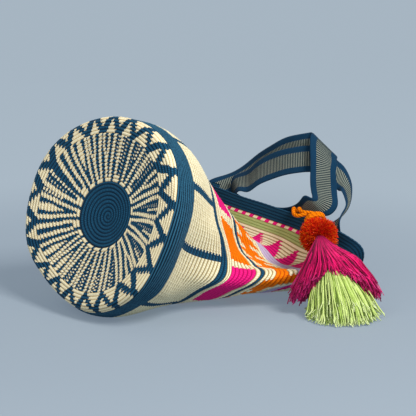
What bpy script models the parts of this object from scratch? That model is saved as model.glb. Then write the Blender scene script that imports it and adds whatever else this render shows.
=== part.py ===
"""Crocheted bucket bag lying on its side, with a woven shoulder band,
a drawstring and a pompom tassel.

Metres, +Z up. The bag lies along +Y: the round base is at the low-Y end and
leans back, the mouth is at the high-Y end, and the underside rests on Z = 0.
The origin is on the underside, in the middle of its flat. Tables of points are
in millimetres, with the origin at ORIGIN in them.
"""
import math

import bmesh
import bpy
import numpy as np
from mathutils import Matrix, Vector

MM = 0.001
ORIGIN = np.array([0.0, 150.0, 0.0])

# ---------------------------------------------------------------- dimensions
BASE_HALF_WIDTH = 124.0      # round base, half its width
BASE_HALF_HEIGHT = 119.0     # and half its height: it sags a little
BASE_CORNER = 7.0            # rounded edge between base and wall
BASE_DISH = 6.0              # how far the middle of the base is pushed in
BASE_LEAN = math.radians(19.0)
BASE_CENTRE = (-3.0, 37.0, 125.0)
FIRST_COLUMN = math.radians(-6.0)
FLOOR_COLUMN = 276.0 / 360.0  # share of a row from the first column to the floor line
WALL_THICKNESS = 3.0
WALL_LENGTH = 305.0          # base edge to rim, along the wall
COLUMNS = 48
WALL_ROWS = 25

STRAP_WIDTH = 33.0
STRAP_THICKNESS = 1.8
STRAP_STEPS = 132

CORD_DIAMETER = 5.0
CORD_DEPTH = 27.0            # drawstring below the rim, along the wall
CORD_CLEAR = 2.2             # between the cord and the wall's inner face

POMPOM_CENTRE = (169.0, 237.0, 91.0)
POMPOM_RADIUS = 21.5
WRAP_CENTRE = (152.0, 249.0, 109.0)
WRAP_RADIUS = 12.6
WRAP_LENGTH = 8.4

# outline of the sagging base: degrees round it, share of its half width
BASE_OUTLINE = [(0, 1.0), (30, 1.0), (55, 0.99), (80, 0.976), (103, 0.982),
                (122, 1.004), (141, 1.042), (160, 1.060), (180, 1.046), (198, 1.046),
                (211, 1.026), (228, 0.966), (248, 0.946), (270, 0.970),
                (292, 0.978), (315, 0.984), (338, 0.996)]

# The wall's cross rows. Each row: length along the wall from the base's edge,
# index of the point on the floor line, and points round the row, starting at
# the first column on the near side and going up and over.
ROWS = [
    (38, 13, [(107, 65, 97), (110, 74, 120), (108, 83, 142), (103, 90, 161),
              (81, 101, 193), (45, 109, 214), (0, 114, 223), (-61, 109, 208),
              (-106, 95, 165), (-121, 75, 108), (-108, 55, 50), (-84, 46, 20),
              (-48, 38, 3), (0, 36, 0), (35, 39, 9), (67, 43, 25),
              (90, 47, 42), (103, 56, 71)]),
    (127, 12, [(95, 146, 63), (92, 150, 89), (81, 154, 109), (71, 159, 128),
               (49, 170, 152), (12, 179, 169), (-40, 186, 176), (-92, 182, 166),
               (-130, 168, 132), (-148, 152, 88), (-140, 136, 38),
               (-106, 126, 6), (-20, 123, 0), (33, 122, 5), (64, 122, 18),
               (86, 126, 32), (98, 136, 43)]),
    (181, 13, [(105, 193, 50), (96, 197, 54), (87, 195, 62), (79, 195, 72),
               (74, 195, 87), (69, 198, 99), (56, 200, 111), (22, 207, 125),
               (-28, 213, 134), (-84, 210, 128), (-132, 200, 102),
               (-160, 188, 60), (-148, 178, 16), (0, 176, 0), (44, 175, 5),
               (82, 174, 13), (107, 174, 25), (125, 177, 38), (126, 184, 45),
               (117, 190, 49)]),
    (238, 11, [(134, 246, 44), (117, 250, 43), (107, 250, 43), (91, 250, 49),
               (76, 248, 60), (52, 240, 70), (15, 232, 80), (-40, 232, 88),
               (-95, 236, 80), (-135, 240, 54), (-144, 236, 20), (40, 231, 0),
               (84, 231, 8), (112, 230, 19), (140, 228, 28), (160, 227, 42),
               (163, 230, 50), (150, 238, 48)]),
    (305, 12, [(190, 270, 85), (172, 267, 92), (143, 264, 99), (97, 260, 106),
               (63, 255, 112), (31, 250, 117), (-25, 245, 126),
               (-70, 247, 120), (-106, 253, 98), (-122, 263, 60),
               (-112, 276, 22), (-80, 288, 2), (80, 298, 0), (110, 296, 5),
               (160, 290, 22), (192, 284, 44), (204, 279, 60),
               (205, 275, 73)]),
]

# The strap, as lines across it from one selvedge to the other. A line marked
# True keeps its own length, because it lies along the diagonal fold.
STRAP = [
    # far end, sewn inside the rim, rising to the fold
    ((-41, 255, 117), (-23, 253, 91), False),
    ((-35, 267, 127), (-14, 261, 107), False),
    ((-23, 282, 134), (-1, 267, 117), False),
    ((1, 294, 150), (23, 281, 130), False),
    ((20, 295, 165), (38, 283, 140), False),
    ((44, 293, 180), (60, 285, 151), False),
    ((65, 294, 192), (77, 290, 160), False),
    ((82, 296, 198), (92, 292, 165), False),
    ((100, 300, 202), (107, 297, 169), False),
    # diagonal fold at the top
    ((102, 301, 202), (120, 308, 169), True),
    ((104, 300, 202), (133, 316, 171.5), True),
    ((108, 296, 202.5), (137, 313, 174), True),
    ((111, 290, 200.5), (140, 307, 171.5), True),
    ((115, 284, 188), (143, 305, 168), True),
    # front fall
    ((119, 278, 169), (145, 302, 161), False),
    ((124, 272, 148), (149, 298, 144), False),
    ((129, 269, 134), (154, 294, 127), False),
    ((131, 267, 129), (157, 289, 113), False),
    # it turns aside above the rim, and its inner selvedge buckles up
    ((129, 265, 130.5), (153, 283, 105), False),
    ((125, 263.5, 131), (142, 278, 104), False),
    ((119, 264, 125), (129, 279, 98), False),
    ((109, 268, 116), (112, 280, 88), False),
    # low run inside the mouth, behind the rim
    ((89, 272, 108), (91, 281, 78), False),
    ((59, 274, 105), (63, 279, 74), False),
    ((31, 271, 107), (34, 274, 76), False),
    ((17, 270, 111), (22, 268, 82), False),
    # it turns back and rises
    ((5, 267, 118), (12, 261, 91), False),
    ((1, 268, 129), (13, 257, 112), False),
    ((5, 271, 138), (23, 254.5, 124), False),
    ((20, 274, 147), (36, 256, 123), False),
    ((37, 275, 161), (50, 260, 131), False),
    ((56, 277, 173), (66, 267, 140), False),
    ((76, 281, 181), (84, 273, 148), False),
    ((91, 286, 185), (99, 278, 152), False),
    ((106, 291, 187), (112, 285, 155), False),
    ((120, 300, 184), (124, 292, 154), False),
    ((130, 307, 173), (133, 298, 142), False),
    # near side, seen on edge, down to the near end of the rim
    ((135, 318, 162), (140, 304, 133), False),
    ((139, 326, 155), (146, 304, 131), False),
    ((143, 329, 144), (151, 304, 135), False),
    ((147, 329, 131), (158, 302, 126), False),
    ((150, 324, 121), (163, 298, 119), False),
    ((153, 315, 112), (165, 291, 113), False),
    ((154, 303, 104), (166, 283, 106), False),
    ((152, 292, 97), (168, 277, 98), False),
    ((144, 281, 91), (172, 276, 84), False),
]


# ------------------------------------------------------------------- splines
def closed_spline(t, points, period, q):
    """Periodic cubic through points at t, read at q."""
    n = len(t)
    h = np.diff(np.append(t, t[0] + period))
    nxt = np.roll(points, -1, 0)
    a = np.zeros((n, n))
    b = np.zeros((n, points.shape[1]))
    for i in range(n):
        a[i, i - 1] += h[i - 1]
        a[i, i] += 2 * (h[i - 1] + h[i])
        a[i, (i + 1) % n] += h[i]
        b[i] = 6 * ((nxt[i] - points[i]) / h[i]
                    - (points[i] - points[i - 1]) / h[i - 1])
    m = np.linalg.solve(a, b)
    q = np.mod(q - t[0], period) + t[0]
    k = np.clip(np.searchsorted(t, q, side="right") - 1, 0, n - 1)
    k1 = (k + 1) % n
    x = (q - t[k])[:, None]
    hh = h[k][:, None]
    a0, b0 = (hh - x) / hh, x / hh
    return (a0 * points[k] + b0 * points[k1]
            + ((a0 ** 3 - a0) * m[k] + (b0 ** 3 - b0) * m[k1]) * hh ** 2 / 6)


def open_spline(t, points, q, start_slope=None):
    """Cubic through points at t, read at q, with free ends."""
    n = len(t)
    h = np.diff(t)
    shape = points.shape
    y = points.reshape(n, -1)
    a = np.zeros((n, n))
    b = np.zeros_like(y)
    a[0, 0] = a[-1, -1] = 1
    if start_slope is not None:
        a[0, 0], a[0, 1] = 2 * h[0], h[0]
        b[0] = 6 * ((y[1] - y[0]) / h[0] - start_slope.reshape(-1))
    for i in range(1, n - 1):
        a[i, i - 1], a[i, i], a[i, i + 1] = h[i - 1], 2 * (h[i - 1] + h[i]), h[i]
        b[i] = 6 * ((y[i + 1] - y[i]) / h[i] - (y[i] - y[i - 1]) / h[i - 1])
    m = np.linalg.solve(a, b)
    k = np.clip(np.searchsorted(t, q, side="right") - 1, 0, n - 2)
    x = (q - t[k])[:, None]
    hh = h[k][:, None]
    a0, b0 = (hh - x) / hh, x / hh
    z = (a0 * y[k] + b0 * y[k + 1]
         + ((a0 ** 3 - a0) * m[k] + (b0 ** 3 - b0) * m[k + 1]) * hh ** 2 / 6)
    return z.reshape((len(q),) + shape[1:])


def lengths(points):
    return np.append(0, np.cumsum(np.linalg.norm(np.diff(points, axis=0), axis=1)))


# ------------------------------------------------------------- the bag's wall
LEAN_C, LEAN_S = math.cos(BASE_LEAN), math.sin(BASE_LEAN)
BASE_OUT = np.array([0.0, -LEAN_C, LEAN_S])
BASE_UP = np.array([0.0, LEAN_S, LEAN_C])
BASE_SIDE = np.array([1.0, 0.0, 0.0])


def base_reach(angle):
    """How far the base's outline reaches at an angle, as a share."""
    table = np.array(BASE_OUTLINE)
    return closed_spline(table[:, 0], table[:, 1:], 360.0, np.degrees(angle))[:, 0]


def base_ring(radius, depth, count):
    """Ring of the base: radius across it, depth behind its face."""
    a = FIRST_COLUMN + 2 * math.pi * np.arange(count) / count
    oval = BASE_HALF_HEIGHT / BASE_HALF_WIDTH
    reach = radius * base_reach(a)[:, None]
    return (np.array(BASE_CENTRE)
            + reach * (np.cos(a)[:, None] * BASE_SIDE
                       + oval * np.sin(a)[:, None] * BASE_UP)
            - depth * BASE_OUT)


def wall_row(points, floor_index, count):
    """Points evenly round one row, between the first and floor columns."""
    p = np.array(points, float)
    t = lengths(np.vstack([p, p[:1]]))
    period, t = t[-1], t[:-1]
    q = np.unique(np.append(np.linspace(0, period, 1201), t[floor_index]))
    arc = lengths(closed_spline(t, p, period, q))
    at_floor = arc[np.searchsorted(q, t[floor_index])]
    want = np.interp(np.arange(count) / count, [0, FLOOR_COLUMN, 1],
                     [0, at_floor, arc[-1]])
    return closed_spline(t, p, period, np.interp(want, arc, q))


def above_floor(p):
    """The underside is pressed flat where it rests, and eases into that flat."""
    ease, press = 2.0, 3.0
    p = p.copy()
    z = p[..., 2] - press * np.clip(1 - p[..., 2] / 25.0, 0, 1)
    p[..., 2] = np.where(z > ease, z,
                         np.where(z < -ease, 0.0, (z + ease) ** 2 / (4 * ease)))
    return p


def wall_grid(along, count):
    rows = [base_ring(BASE_HALF_WIDTH, BASE_CORNER, count)]
    rows += [wall_row(pts, k, count) for _, k, pts in ROWS]
    t = np.array([0.8 * BASE_CORNER] + [s for s, _, _ in ROWS], float)
    start = np.tile(-BASE_OUT, (count, 1))
    return above_floor(open_spline(t, np.array(rows),
                                   np.clip(along, t[0], t[-1]), start))


# ------------------------------------------------------------- scene helpers
def fresh_scene():
    for obj in list(bpy.data.objects):
        bpy.data.objects.remove(obj, do_unlink=True)


def collection(name):
    col = bpy.data.collections.new(name)
    bpy.context.scene.collection.children.link(col)
    return col


def material(name, colour, roughness, metallic=0.0):
    mat = bpy.data.materials.new(name)
    mat.use_nodes = True
    shader = mat.node_tree.nodes["Principled BSDF"]
    shader.inputs["Base Color"].default_value = (*colour, 1.0)
    shader.inputs["Roughness"].default_value = roughness
    shader.inputs["Metallic"].default_value = metallic
    return mat


def add_object(name, data, col, mat):
    obj = bpy.data.objects.new(name, data)
    col.objects.link(obj)
    data.materials.append(mat)
    return obj


def mesh_from(name, verts, faces):
    mesh = bpy.data.meshes.new(name)
    mesh.from_pydata([tuple(v) for v in (np.asarray(verts) - ORIGIN) * MM], [], faces)
    mesh.update()
    return mesh


def smooth(mesh, degrees=40):
    mesh.shade_smooth()
    mesh.set_sharp_from_angle(angle=math.radians(degrees))


def tube(name, points, diameter, col, mat, resolution=2):
    curve = bpy.data.curves.new(name, "CURVE")
    curve.dimensions = "3D"
    curve.bevel_depth = diameter * MM / 2
    curve.bevel_resolution = resolution
    curve.use_fill_caps = True
    spline = curve.splines.new("POLY")
    spline.points.add(len(points) - 1)
    for dst, src in zip(spline.points, (np.asarray(points) - ORIGIN) * MM):
        dst.co = (*src, 1.0)
    return add_object(name, curve, col, mat)


# ---------------------------------------------------------------- the pieces
def build_bag(col, mat):
    """Base and wall: one open surface, given its thickness inwards."""
    rings = [base_ring(r, BASE_DISH * (1 - (r / 100.0) ** 2) if r < 100 else 0.0,
                       COLUMNS) for r in (26.0, 58.0, 90.0)]
    flat = BASE_HALF_WIDTH - BASE_CORNER
    rings.append(base_ring(flat, 0.0, COLUMNS))
    for a in (30, 60):
        a = math.radians(a)
        rings.append(base_ring(flat + BASE_CORNER * math.sin(a),
                               BASE_CORNER * (1 - math.cos(a)), COLUMNS))
    along = np.concatenate([[0.8 * BASE_CORNER, 14, 24],
                            np.linspace(38, WALL_LENGTH, WALL_ROWS - 2)])
    rings += list(wall_grid(along, COLUMNS))
    middle = np.array(BASE_CENTRE) - BASE_DISH * BASE_OUT
    verts = np.vstack([middle[None]] + rings)
    faces = []
    for j in range(COLUMNS):
        k = (j + 1) % COLUMNS
        faces.append((0, 1 + j, 1 + k))
    for i in range(len(rings) - 1):
        a, b = 1 + i * COLUMNS, 1 + (i + 1) * COLUMNS
        for j in range(COLUMNS):
            k = (j + 1) % COLUMNS
            faces.append((a + j, b + j, b + k, a + k))
    mesh = mesh_from("bag_body", verts, faces)
    bm = bmesh.new()
    bm.from_mesh(mesh)
    bmesh.ops.recalc_face_normals(bm, faces=bm.faces)
    base = min(bm.faces, key=lambda f: f.calc_center_median().y)
    if base.normal.y > 0:
        bmesh.ops.reverse_faces(bm, faces=bm.faces)
    bm.to_mesh(mesh)
    bm.free()
    smooth(mesh)
    obj = add_object("bag_body", mesh, col, mat)
    mod = obj.modifiers.new("wall", "SOLIDIFY")
    mod.thickness = WALL_THICKNESS * MM
    mod.offset = -1.0
    mod.use_even_offset = True
    return obj


def strap_lines(steps):
    """Selvedge points of the strap, evenly along it."""
    ends = []
    for a, b, keep in STRAP:
        a, b = np.array(a, float), np.array(b, float)
        if not keep:
            mid, half = (a + b) / 2, (b - a) / np.linalg.norm(b - a)
            a, b = mid - half * STRAP_WIDTH / 2, mid + half * STRAP_WIDTH / 2
        ends.append((a, b))
    ends = np.array(ends)
    t = lengths(ends.mean(1))
    return open_spline(t, ends, np.linspace(0, t[-1], steps))


def build_strap(col, mat):
    lines = strap_lines(STRAP_STEPS)
    across = 3
    verts = [a + (b - a) * i / (across - 1) for a, b in lines for i in range(across)]
    faces = []
    for s in range(len(lines) - 1):
        for i in range(across - 1):
            p = s * across + i
            faces.append((p, p + 1, p + 1 + across, p + across))
    mesh = mesh_from("strap", np.array(verts), faces)
    smooth(mesh)
    obj = add_object("strap", mesh, col, mat)
    mod = obj.modifiers.new("weave", "SOLIDIFY")
    mod.thickness = STRAP_THICKNESS * MM
    mod.offset = 0.0
    mod.use_even_offset = False
    return obj


def rim_frame(along, count):
    """Wall points and inward directions at one distance from the base edge."""
    g = wall_grid(np.array([along - 4.0, along, along + 0.0 if along >= WALL_LENGTH
                            else along + 4.0]), count)
    around = np.roll(g[1], -1, 0) - np.roll(g[1], 1, 0)
    length = g[2] - g[0]
    inward = np.cross(length, around)
    inward /= np.linalg.norm(inward, axis=1)[:, None]
    middle = g[1].mean(0)
    if np.mean(((middle - g[1]) * inward).sum(1)) < 0:
        inward = -inward
    return g[1], inward


def cord_path():
    """Round the inside of the rim, both ends out over it to the wrap."""
    count = 240
    wall, inward = rim_frame(WALL_LENGTH - CORD_DEPTH, count)
    off = WALL_THICKNESS + CORD_CLEAR + CORD_DIAMETER / 2
    ring = wall + inward * off
    gap = int(np.argmin(np.linalg.norm(wall - np.array([118, 262, 80]), axis=1)))
    order = [(gap + 2 + i) % count for i in range(count - 4)]
    loop = ring[order][::6]
    near = np.array([(119, 270, 93), (117, 269, 104), (118, 263, 112),
                     (124, 255, 114), (131, 250, 112.5), (138, 250, 113.5),
                     (146, 252.5, 113.3)], float)
    far = np.array([(111, 269, 93), (109, 268, 104), (111, 260.5, 112),
                    (118, 251, 112.5), (128, 243, 108.5), (135, 243, 110),
                    (142, 246, 112.5)], float)
    route = np.vstack([far[::-1], loop, near])
    t = lengths(route)
    return open_spline(t, route, np.linspace(0, t[-1], 80))


def axis_matrix(centre, axis):
    z = Vector(axis).normalized()
    return (Matrix.Translation(Vector((np.array(centre) - ORIGIN) * MM))
            @ z.to_track_quat("Z", "Y").to_matrix().to_4x4())


def build_wrap(col, mat):
    """The cord is wound twice round its own ends above the pompom."""
    bm = bmesh.new()
    bmesh.ops.create_cone(bm, cap_ends=True, segments=20,
                          radius1=WRAP_RADIUS * MM, radius2=WRAP_RADIUS * MM,
                          depth=WRAP_LENGTH * MM)
    mesh = bpy.data.meshes.new("cord_wrap")
    bm.to_mesh(mesh)
    bm.free()
    smooth(mesh)
    obj = add_object("cord_wrap", mesh, col, mat)
    obj.matrix_world = axis_matrix(
        WRAP_CENTRE, np.array(WRAP_CENTRE) - np.array(POMPOM_CENTRE))
    bevel = obj.modifiers.new("round", "BEVEL")
    bevel.width = 3.0 * MM
    bevel.segments = 2
    return obj


def build_pompom(col, mat):
    bm = bmesh.new()
    bmesh.ops.create_icosphere(bm, subdivisions=3, radius=POMPOM_RADIUS * MM)
    mesh = bpy.data.meshes.new("pompom")
    bm.to_mesh(mesh)
    bm.free()
    smooth(mesh)
    obj = add_object("pompom", mesh, col, mat)
    obj.matrix_world = Matrix.Translation(
        Vector((np.array(POMPOM_CENTRE) - ORIGIN) * MM))
    return obj


# The tassel hangs in a fan. SIDE runs across the fan and FRONT out of it.
FAN = math.radians(44.0)
SIDE = np.array([math.cos(FAN), math.sin(FAN), 0.0])
FRONT = np.array([math.sin(FAN), -math.cos(FAN), 0.0])


def fan_point(side, front, z):
    return np.append(side * SIDE[:2] + front * FRONT[:2], z)


def fan_ring(side, front, half_side, half_front, z, count):
    """Oval ring. z gives its height at the left, front, right and back."""
    a = 2 * math.pi * np.arange(count) / count
    left, front_z, right, back = z
    ca, sa = np.cos(a), np.sin(a)
    height = (np.where(ca > 0, right, left) * ca ** 2
              + np.where(sa > 0, front_z, back) * sa ** 2)
    p = ((side + half_side * ca)[:, None] * SIDE
         + (front + half_front * sa)[:, None] * FRONT)
    p[:, 2] = height
    return p


def loft(name, rings, top, bottom, col, mat):
    n = len(rings[0])
    verts = np.vstack([np.array(top, float)[None]] + rings
                      + [np.array(bottom, float)[None]])
    faces = []
    for j in range(n):
        k = (j + 1) % n
        faces.append((0, 1 + j, 1 + k))
        for i in range(len(rings) - 1):
            a, b = 1 + i * n, 1 + (i + 1) * n
            faces.append((a + j, b + j, b + k, a + k))
        a = 1 + (len(rings) - 1) * n
        faces.append((a + k, a + j, len(verts) - 1))
    mesh = mesh_from(name, verts, faces)
    bm = bmesh.new()
    bm.from_mesh(mesh)
    bmesh.ops.recalc_face_normals(bm, faces=bm.faces)
    bmesh.ops.triangulate(bm, faces=bm.faces)
    bm.to_mesh(mesh)
    bm.free()
    smooth(mesh)
    return add_object(name, mesh, col, mat)


def build_skirts(col, upper_mat, lower_mat):
    n = 28
    # upper skirt: low at both sides and arched up over the lower skirt
    upper = [
        (288.5, -26, 6, 5, (86, 86, 86, 86)),
        (291, -23.5, 16, 7, (80, 80, 81, 80)),
        (296, -24, 27, 10, (73, 71, 74, 72)),
        (299, -25.5, 34, 13, (66, 63, 67, 62)),
        (302, -27, 42, 16, (52, 55, 53, 50)),
        (305, -27, 49, 17, (38, 52, 40, 46)),
        (305.5, -27, 53, 16, (24, 50, 29, 44)),
        (305.5, -27, 47, 13, (20.5, 48, 25.5, 42)),
    ]
    loft("tassel_upper_skirt", [fan_ring(*row, n) for row in upper],
         fan_point(288.5, -26, 88), fan_point(305.5, -27, 45), col, upper_mat)
    # lower skirt: fills that arch and fans out on the floor
    lower = [
        (305, -25, 15, 9, (34, 44, 36, 39)),
        (306, -22, 26, 18, (27, 40, 31, 33)),
        (308, -19, 35, 26, (19, 29, 25.5, 24)),
        (311, -14, 44, 32, (9, 15, 14, 12)),
        (311, -13, 45, 38, (3.5, 4, 5, 4)),
        (311, -13, 44, 38.5, (1, 1, 1, 1)),
        (311, -13, 41, 36, (0, 0, 0, 0)),
    ]
    loft("tassel_lower_skirt", [fan_ring(*row, n) for row in lower],
         fan_point(305, -26, 43), fan_point(311, -13, 0), col, lower_mat)


def build_tab(name, column_point, col, mat):
    """Crocheted tab sewn up the inside of the rim over the strap's end."""
    count = 240
    levels = [WALL_LENGTH - 13.0, WALL_LENGTH - 6.5, WALL_LENGTH - 0.1]
    frames = [rim_frame(s, count) for s in levels]
    at = int(np.argmin(np.linalg.norm(frames[-1][0] - np.array(column_point), axis=1)))
    cols = [(at + i) % count for i in (-2, -1, 0, 1, 2)]
    off = WALL_THICKNESS + 0.5
    rows = [w[cols] + d[cols] * off for w, d in frames]
    rise = rows[-1] - rows[-2]
    rise /= np.linalg.norm(rise, axis=1)[:, None]
    rows.append(rows[-1] + rise * 6.0)
    grid = np.array(rows)
    inward = frames[-1][1][cols]
    r, c = grid.shape[:2]
    verts = grid.reshape(-1, 3)
    faces = [(i * c + j, i * c + j + 1, (i + 1) * c + j + 1, (i + 1) * c + j)
             for i in range(r - 1) for j in range(c - 1)]
    mesh = mesh_from(name, verts, faces)
    bm = bmesh.new()
    bm.from_mesh(mesh)
    bmesh.ops.recalc_face_normals(bm, faces=bm.faces)
    bm.faces.ensure_lookup_table()
    if bm.faces[0].normal.dot(Vector(inward.mean(0))) < 0:
        bmesh.ops.reverse_faces(bm, faces=bm.faces)
    bm.to_mesh(mesh)
    bm.free()
    smooth(mesh)
    obj = add_object(name, mesh, col, mat)
    mod = obj.modifiers.new("thick", "SOLIDIFY")
    mod.thickness = 2.2 * MM
    mod.offset = 1.0
    return obj


def main():
    fresh_scene()
    col = collection("crocheted_bucket_bag")
    blue = material("blue_cotton", (0.014, 0.08, 0.19), 0.85)
    cotton = material("cream_cotton", (0.80, 0.70, 0.47), 0.85)
    band = material("woven_band", (0.16, 0.21, 0.22), 0.8)
    orange = material("orange_cord", (0.80, 0.23, 0.01), 0.8)
    red = material("pompom_wool", (0.60, 0.04, 0.01), 0.9)
    magenta = material("magenta_thread", (0.55, 0.01, 0.16), 0.7)
    lime = material("lime_thread", (0.45, 0.68, 0.18), 0.7)
    build_bag(col, cotton)
    build_strap(col, band)
    build_tab("strap_tab_far", (-12, 246, 124), col, blue)
    tube("drawstring", cord_path(), CORD_DIAMETER, col, orange)
    build_wrap(col, orange)
    build_pompom(col, red)
    build_skirts(col, magenta, lime)


main()
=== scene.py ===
import math

import bpy
import numpy as np
from mathutils import Matrix, Vector


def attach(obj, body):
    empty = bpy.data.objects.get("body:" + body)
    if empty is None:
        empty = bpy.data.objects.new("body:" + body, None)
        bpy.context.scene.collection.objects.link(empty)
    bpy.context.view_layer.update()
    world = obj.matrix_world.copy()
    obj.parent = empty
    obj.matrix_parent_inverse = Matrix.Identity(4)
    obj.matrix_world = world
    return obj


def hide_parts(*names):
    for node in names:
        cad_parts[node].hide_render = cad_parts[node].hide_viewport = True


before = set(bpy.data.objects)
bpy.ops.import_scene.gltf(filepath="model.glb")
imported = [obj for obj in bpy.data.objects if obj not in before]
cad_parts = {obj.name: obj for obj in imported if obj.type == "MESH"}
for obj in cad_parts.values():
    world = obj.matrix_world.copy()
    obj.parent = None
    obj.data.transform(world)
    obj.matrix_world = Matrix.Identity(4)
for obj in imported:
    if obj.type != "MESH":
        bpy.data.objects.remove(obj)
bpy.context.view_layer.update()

MM = 0.001
ORIGIN = np.array([0.0, 150.0, 0.0])     # the tables below are in mm, from here

# ------------------------------------------------------------ camera
AZ, EL, DIST = math.radians(44.0), math.radians(13.0), 1700.0
BACK = np.array([math.sin(AZ) * math.cos(EL), -math.cos(AZ) * math.cos(EL), math.sin(EL)])
RIGHT = np.array([math.cos(AZ), math.sin(AZ), 0.0])
UP = np.cross(BACK, RIGHT)
TARGET = np.array([50.0, 120.0, 90.0])
FOCAL_PX = DIST / 1.2
CENTRE_PX = (179.73, 236.80)


def place_camera():
    data = bpy.data.cameras.new("photo_camera")
    cam = bpy.data.objects.new("photo_camera", data)
    bpy.context.scene.collection.objects.link(cam)
    data.sensor_width = 36.0
    data.lens = 36.0 * FOCAL_PX / 416
    data.shift_x = (208.0 - CENTRE_PX[0]) / 416
    data.shift_y = (CENTRE_PX[1] - 208.0) / 416
    data.clip_start, data.clip_end = 0.05, 30.0
    m = Matrix.Identity(4)
    where = TARGET + BACK * DIST - ORIGIN
    for i in range(3):
        m[i][0], m[i][1], m[i][2], m[i][3] = RIGHT[i], UP[i], BACK[i], where[i] * MM
    cam.matrix_world = m
    bpy.context.scene.camera = cam
    return cam


place_camera()

# ------------------------------------------------------------ dimensions
BASE_HALF_WIDTH, BASE_HALF_HEIGHT, BASE_CORNER = 124.0, 119.0, 7.0
BASE_DISH, BASE_LEAN = 6.0, math.radians(19.0)
BASE_CENTRE = (-3.0, 37.0, 125.0)
FIRST_COLUMN, FLOOR_COLUMN = math.radians(-6.0), 276.0 / 360.0
WALL_THICKNESS, WALL_LENGTH = 3.0, 305.0
STRAP_WIDTH, STRAP_THICKNESS = 33.0, 1.8
CORD_DIAMETER, CORD_DEPTH, CORD_CLEAR = 5.0, 27.0, 2.2
POMPOM_CENTRE, POMPOM_RADIUS = np.array([169.0, 237.0, 91.0]), 21.5
WRAP_CENTRE = np.array([152.0, 249.0, 109.0])
WRAP_RADIUS, WRAP_LENGTH = 12.6, 8.4
STITCHES = 140

BASE_OUTLINE = [(0, 1.0), (30, 1.0), (55, 0.99), (80, 0.976), (103, 0.982),
                (122, 1.004), (141, 1.042), (160, 1.060), (180, 1.046), (198, 1.046),
                (211, 1.026), (228, 0.966), (248, 0.946), (270, 0.970),
                (292, 0.978), (315, 0.984), (338, 0.996)]

ROWS = [
    (38, 13, [(107, 65, 97), (110, 74, 120), (108, 83, 142), (103, 90, 161),
              (81, 101, 193), (45, 109, 214), (0, 114, 223), (-61, 109, 208),
              (-106, 95, 165), (-121, 75, 108), (-108, 55, 50), (-84, 46, 20),
              (-48, 38, 3), (0, 36, 0), (35, 39, 9), (67, 43, 25),
              (90, 47, 42), (103, 56, 71)]),
    (127, 12, [(95, 146, 63), (92, 150, 89), (81, 154, 109), (71, 159, 128),
               (49, 170, 152), (12, 179, 169), (-40, 186, 176), (-92, 182, 166),
               (-130, 168, 132), (-148, 152, 88), (-140, 136, 38),
               (-106, 126, 6), (-20, 123, 0), (33, 122, 5), (64, 122, 18),
               (86, 126, 32), (98, 136, 43)]),
    (181, 13, [(105, 193, 50), (96, 197, 54), (87, 195, 62), (79, 195, 72),
               (74, 195, 87), (69, 198, 99), (56, 200, 111), (22, 207, 125),
               (-28, 213, 134), (-84, 210, 128), (-132, 200, 102),
               (-160, 188, 60), (-148, 178, 16), (0, 176, 0), (44, 175, 5),
               (82, 174, 13), (107, 174, 25), (125, 177, 38), (126, 184, 45),
               (117, 190, 49)]),
    (238, 11, [(134, 246, 44), (117, 250, 43), (107, 250, 43), (91, 250, 49),
               (76, 248, 60), (52, 240, 70), (15, 232, 80), (-40, 232, 88),
               (-95, 236, 80), (-135, 240, 54), (-144, 236, 20), (40, 231, 0),
               (84, 231, 8), (112, 230, 19), (140, 228, 28), (160, 227, 42),
               (163, 230, 50), (150, 238, 48)]),
    (305, 12, [(190, 270, 85), (172, 267, 92), (143, 264, 99), (97, 260, 106),
               (63, 255, 112), (31, 250, 117), (-25, 245, 126),
               (-70, 247, 120), (-106, 253, 98), (-122, 263, 60),
               (-112, 276, 22), (-80, 288, 2), (80, 298, 0), (110, 296, 5),
               (160, 290, 22), (192, 284, 44), (204, 279, 60),
               (205, 275, 73)]),
]

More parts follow.
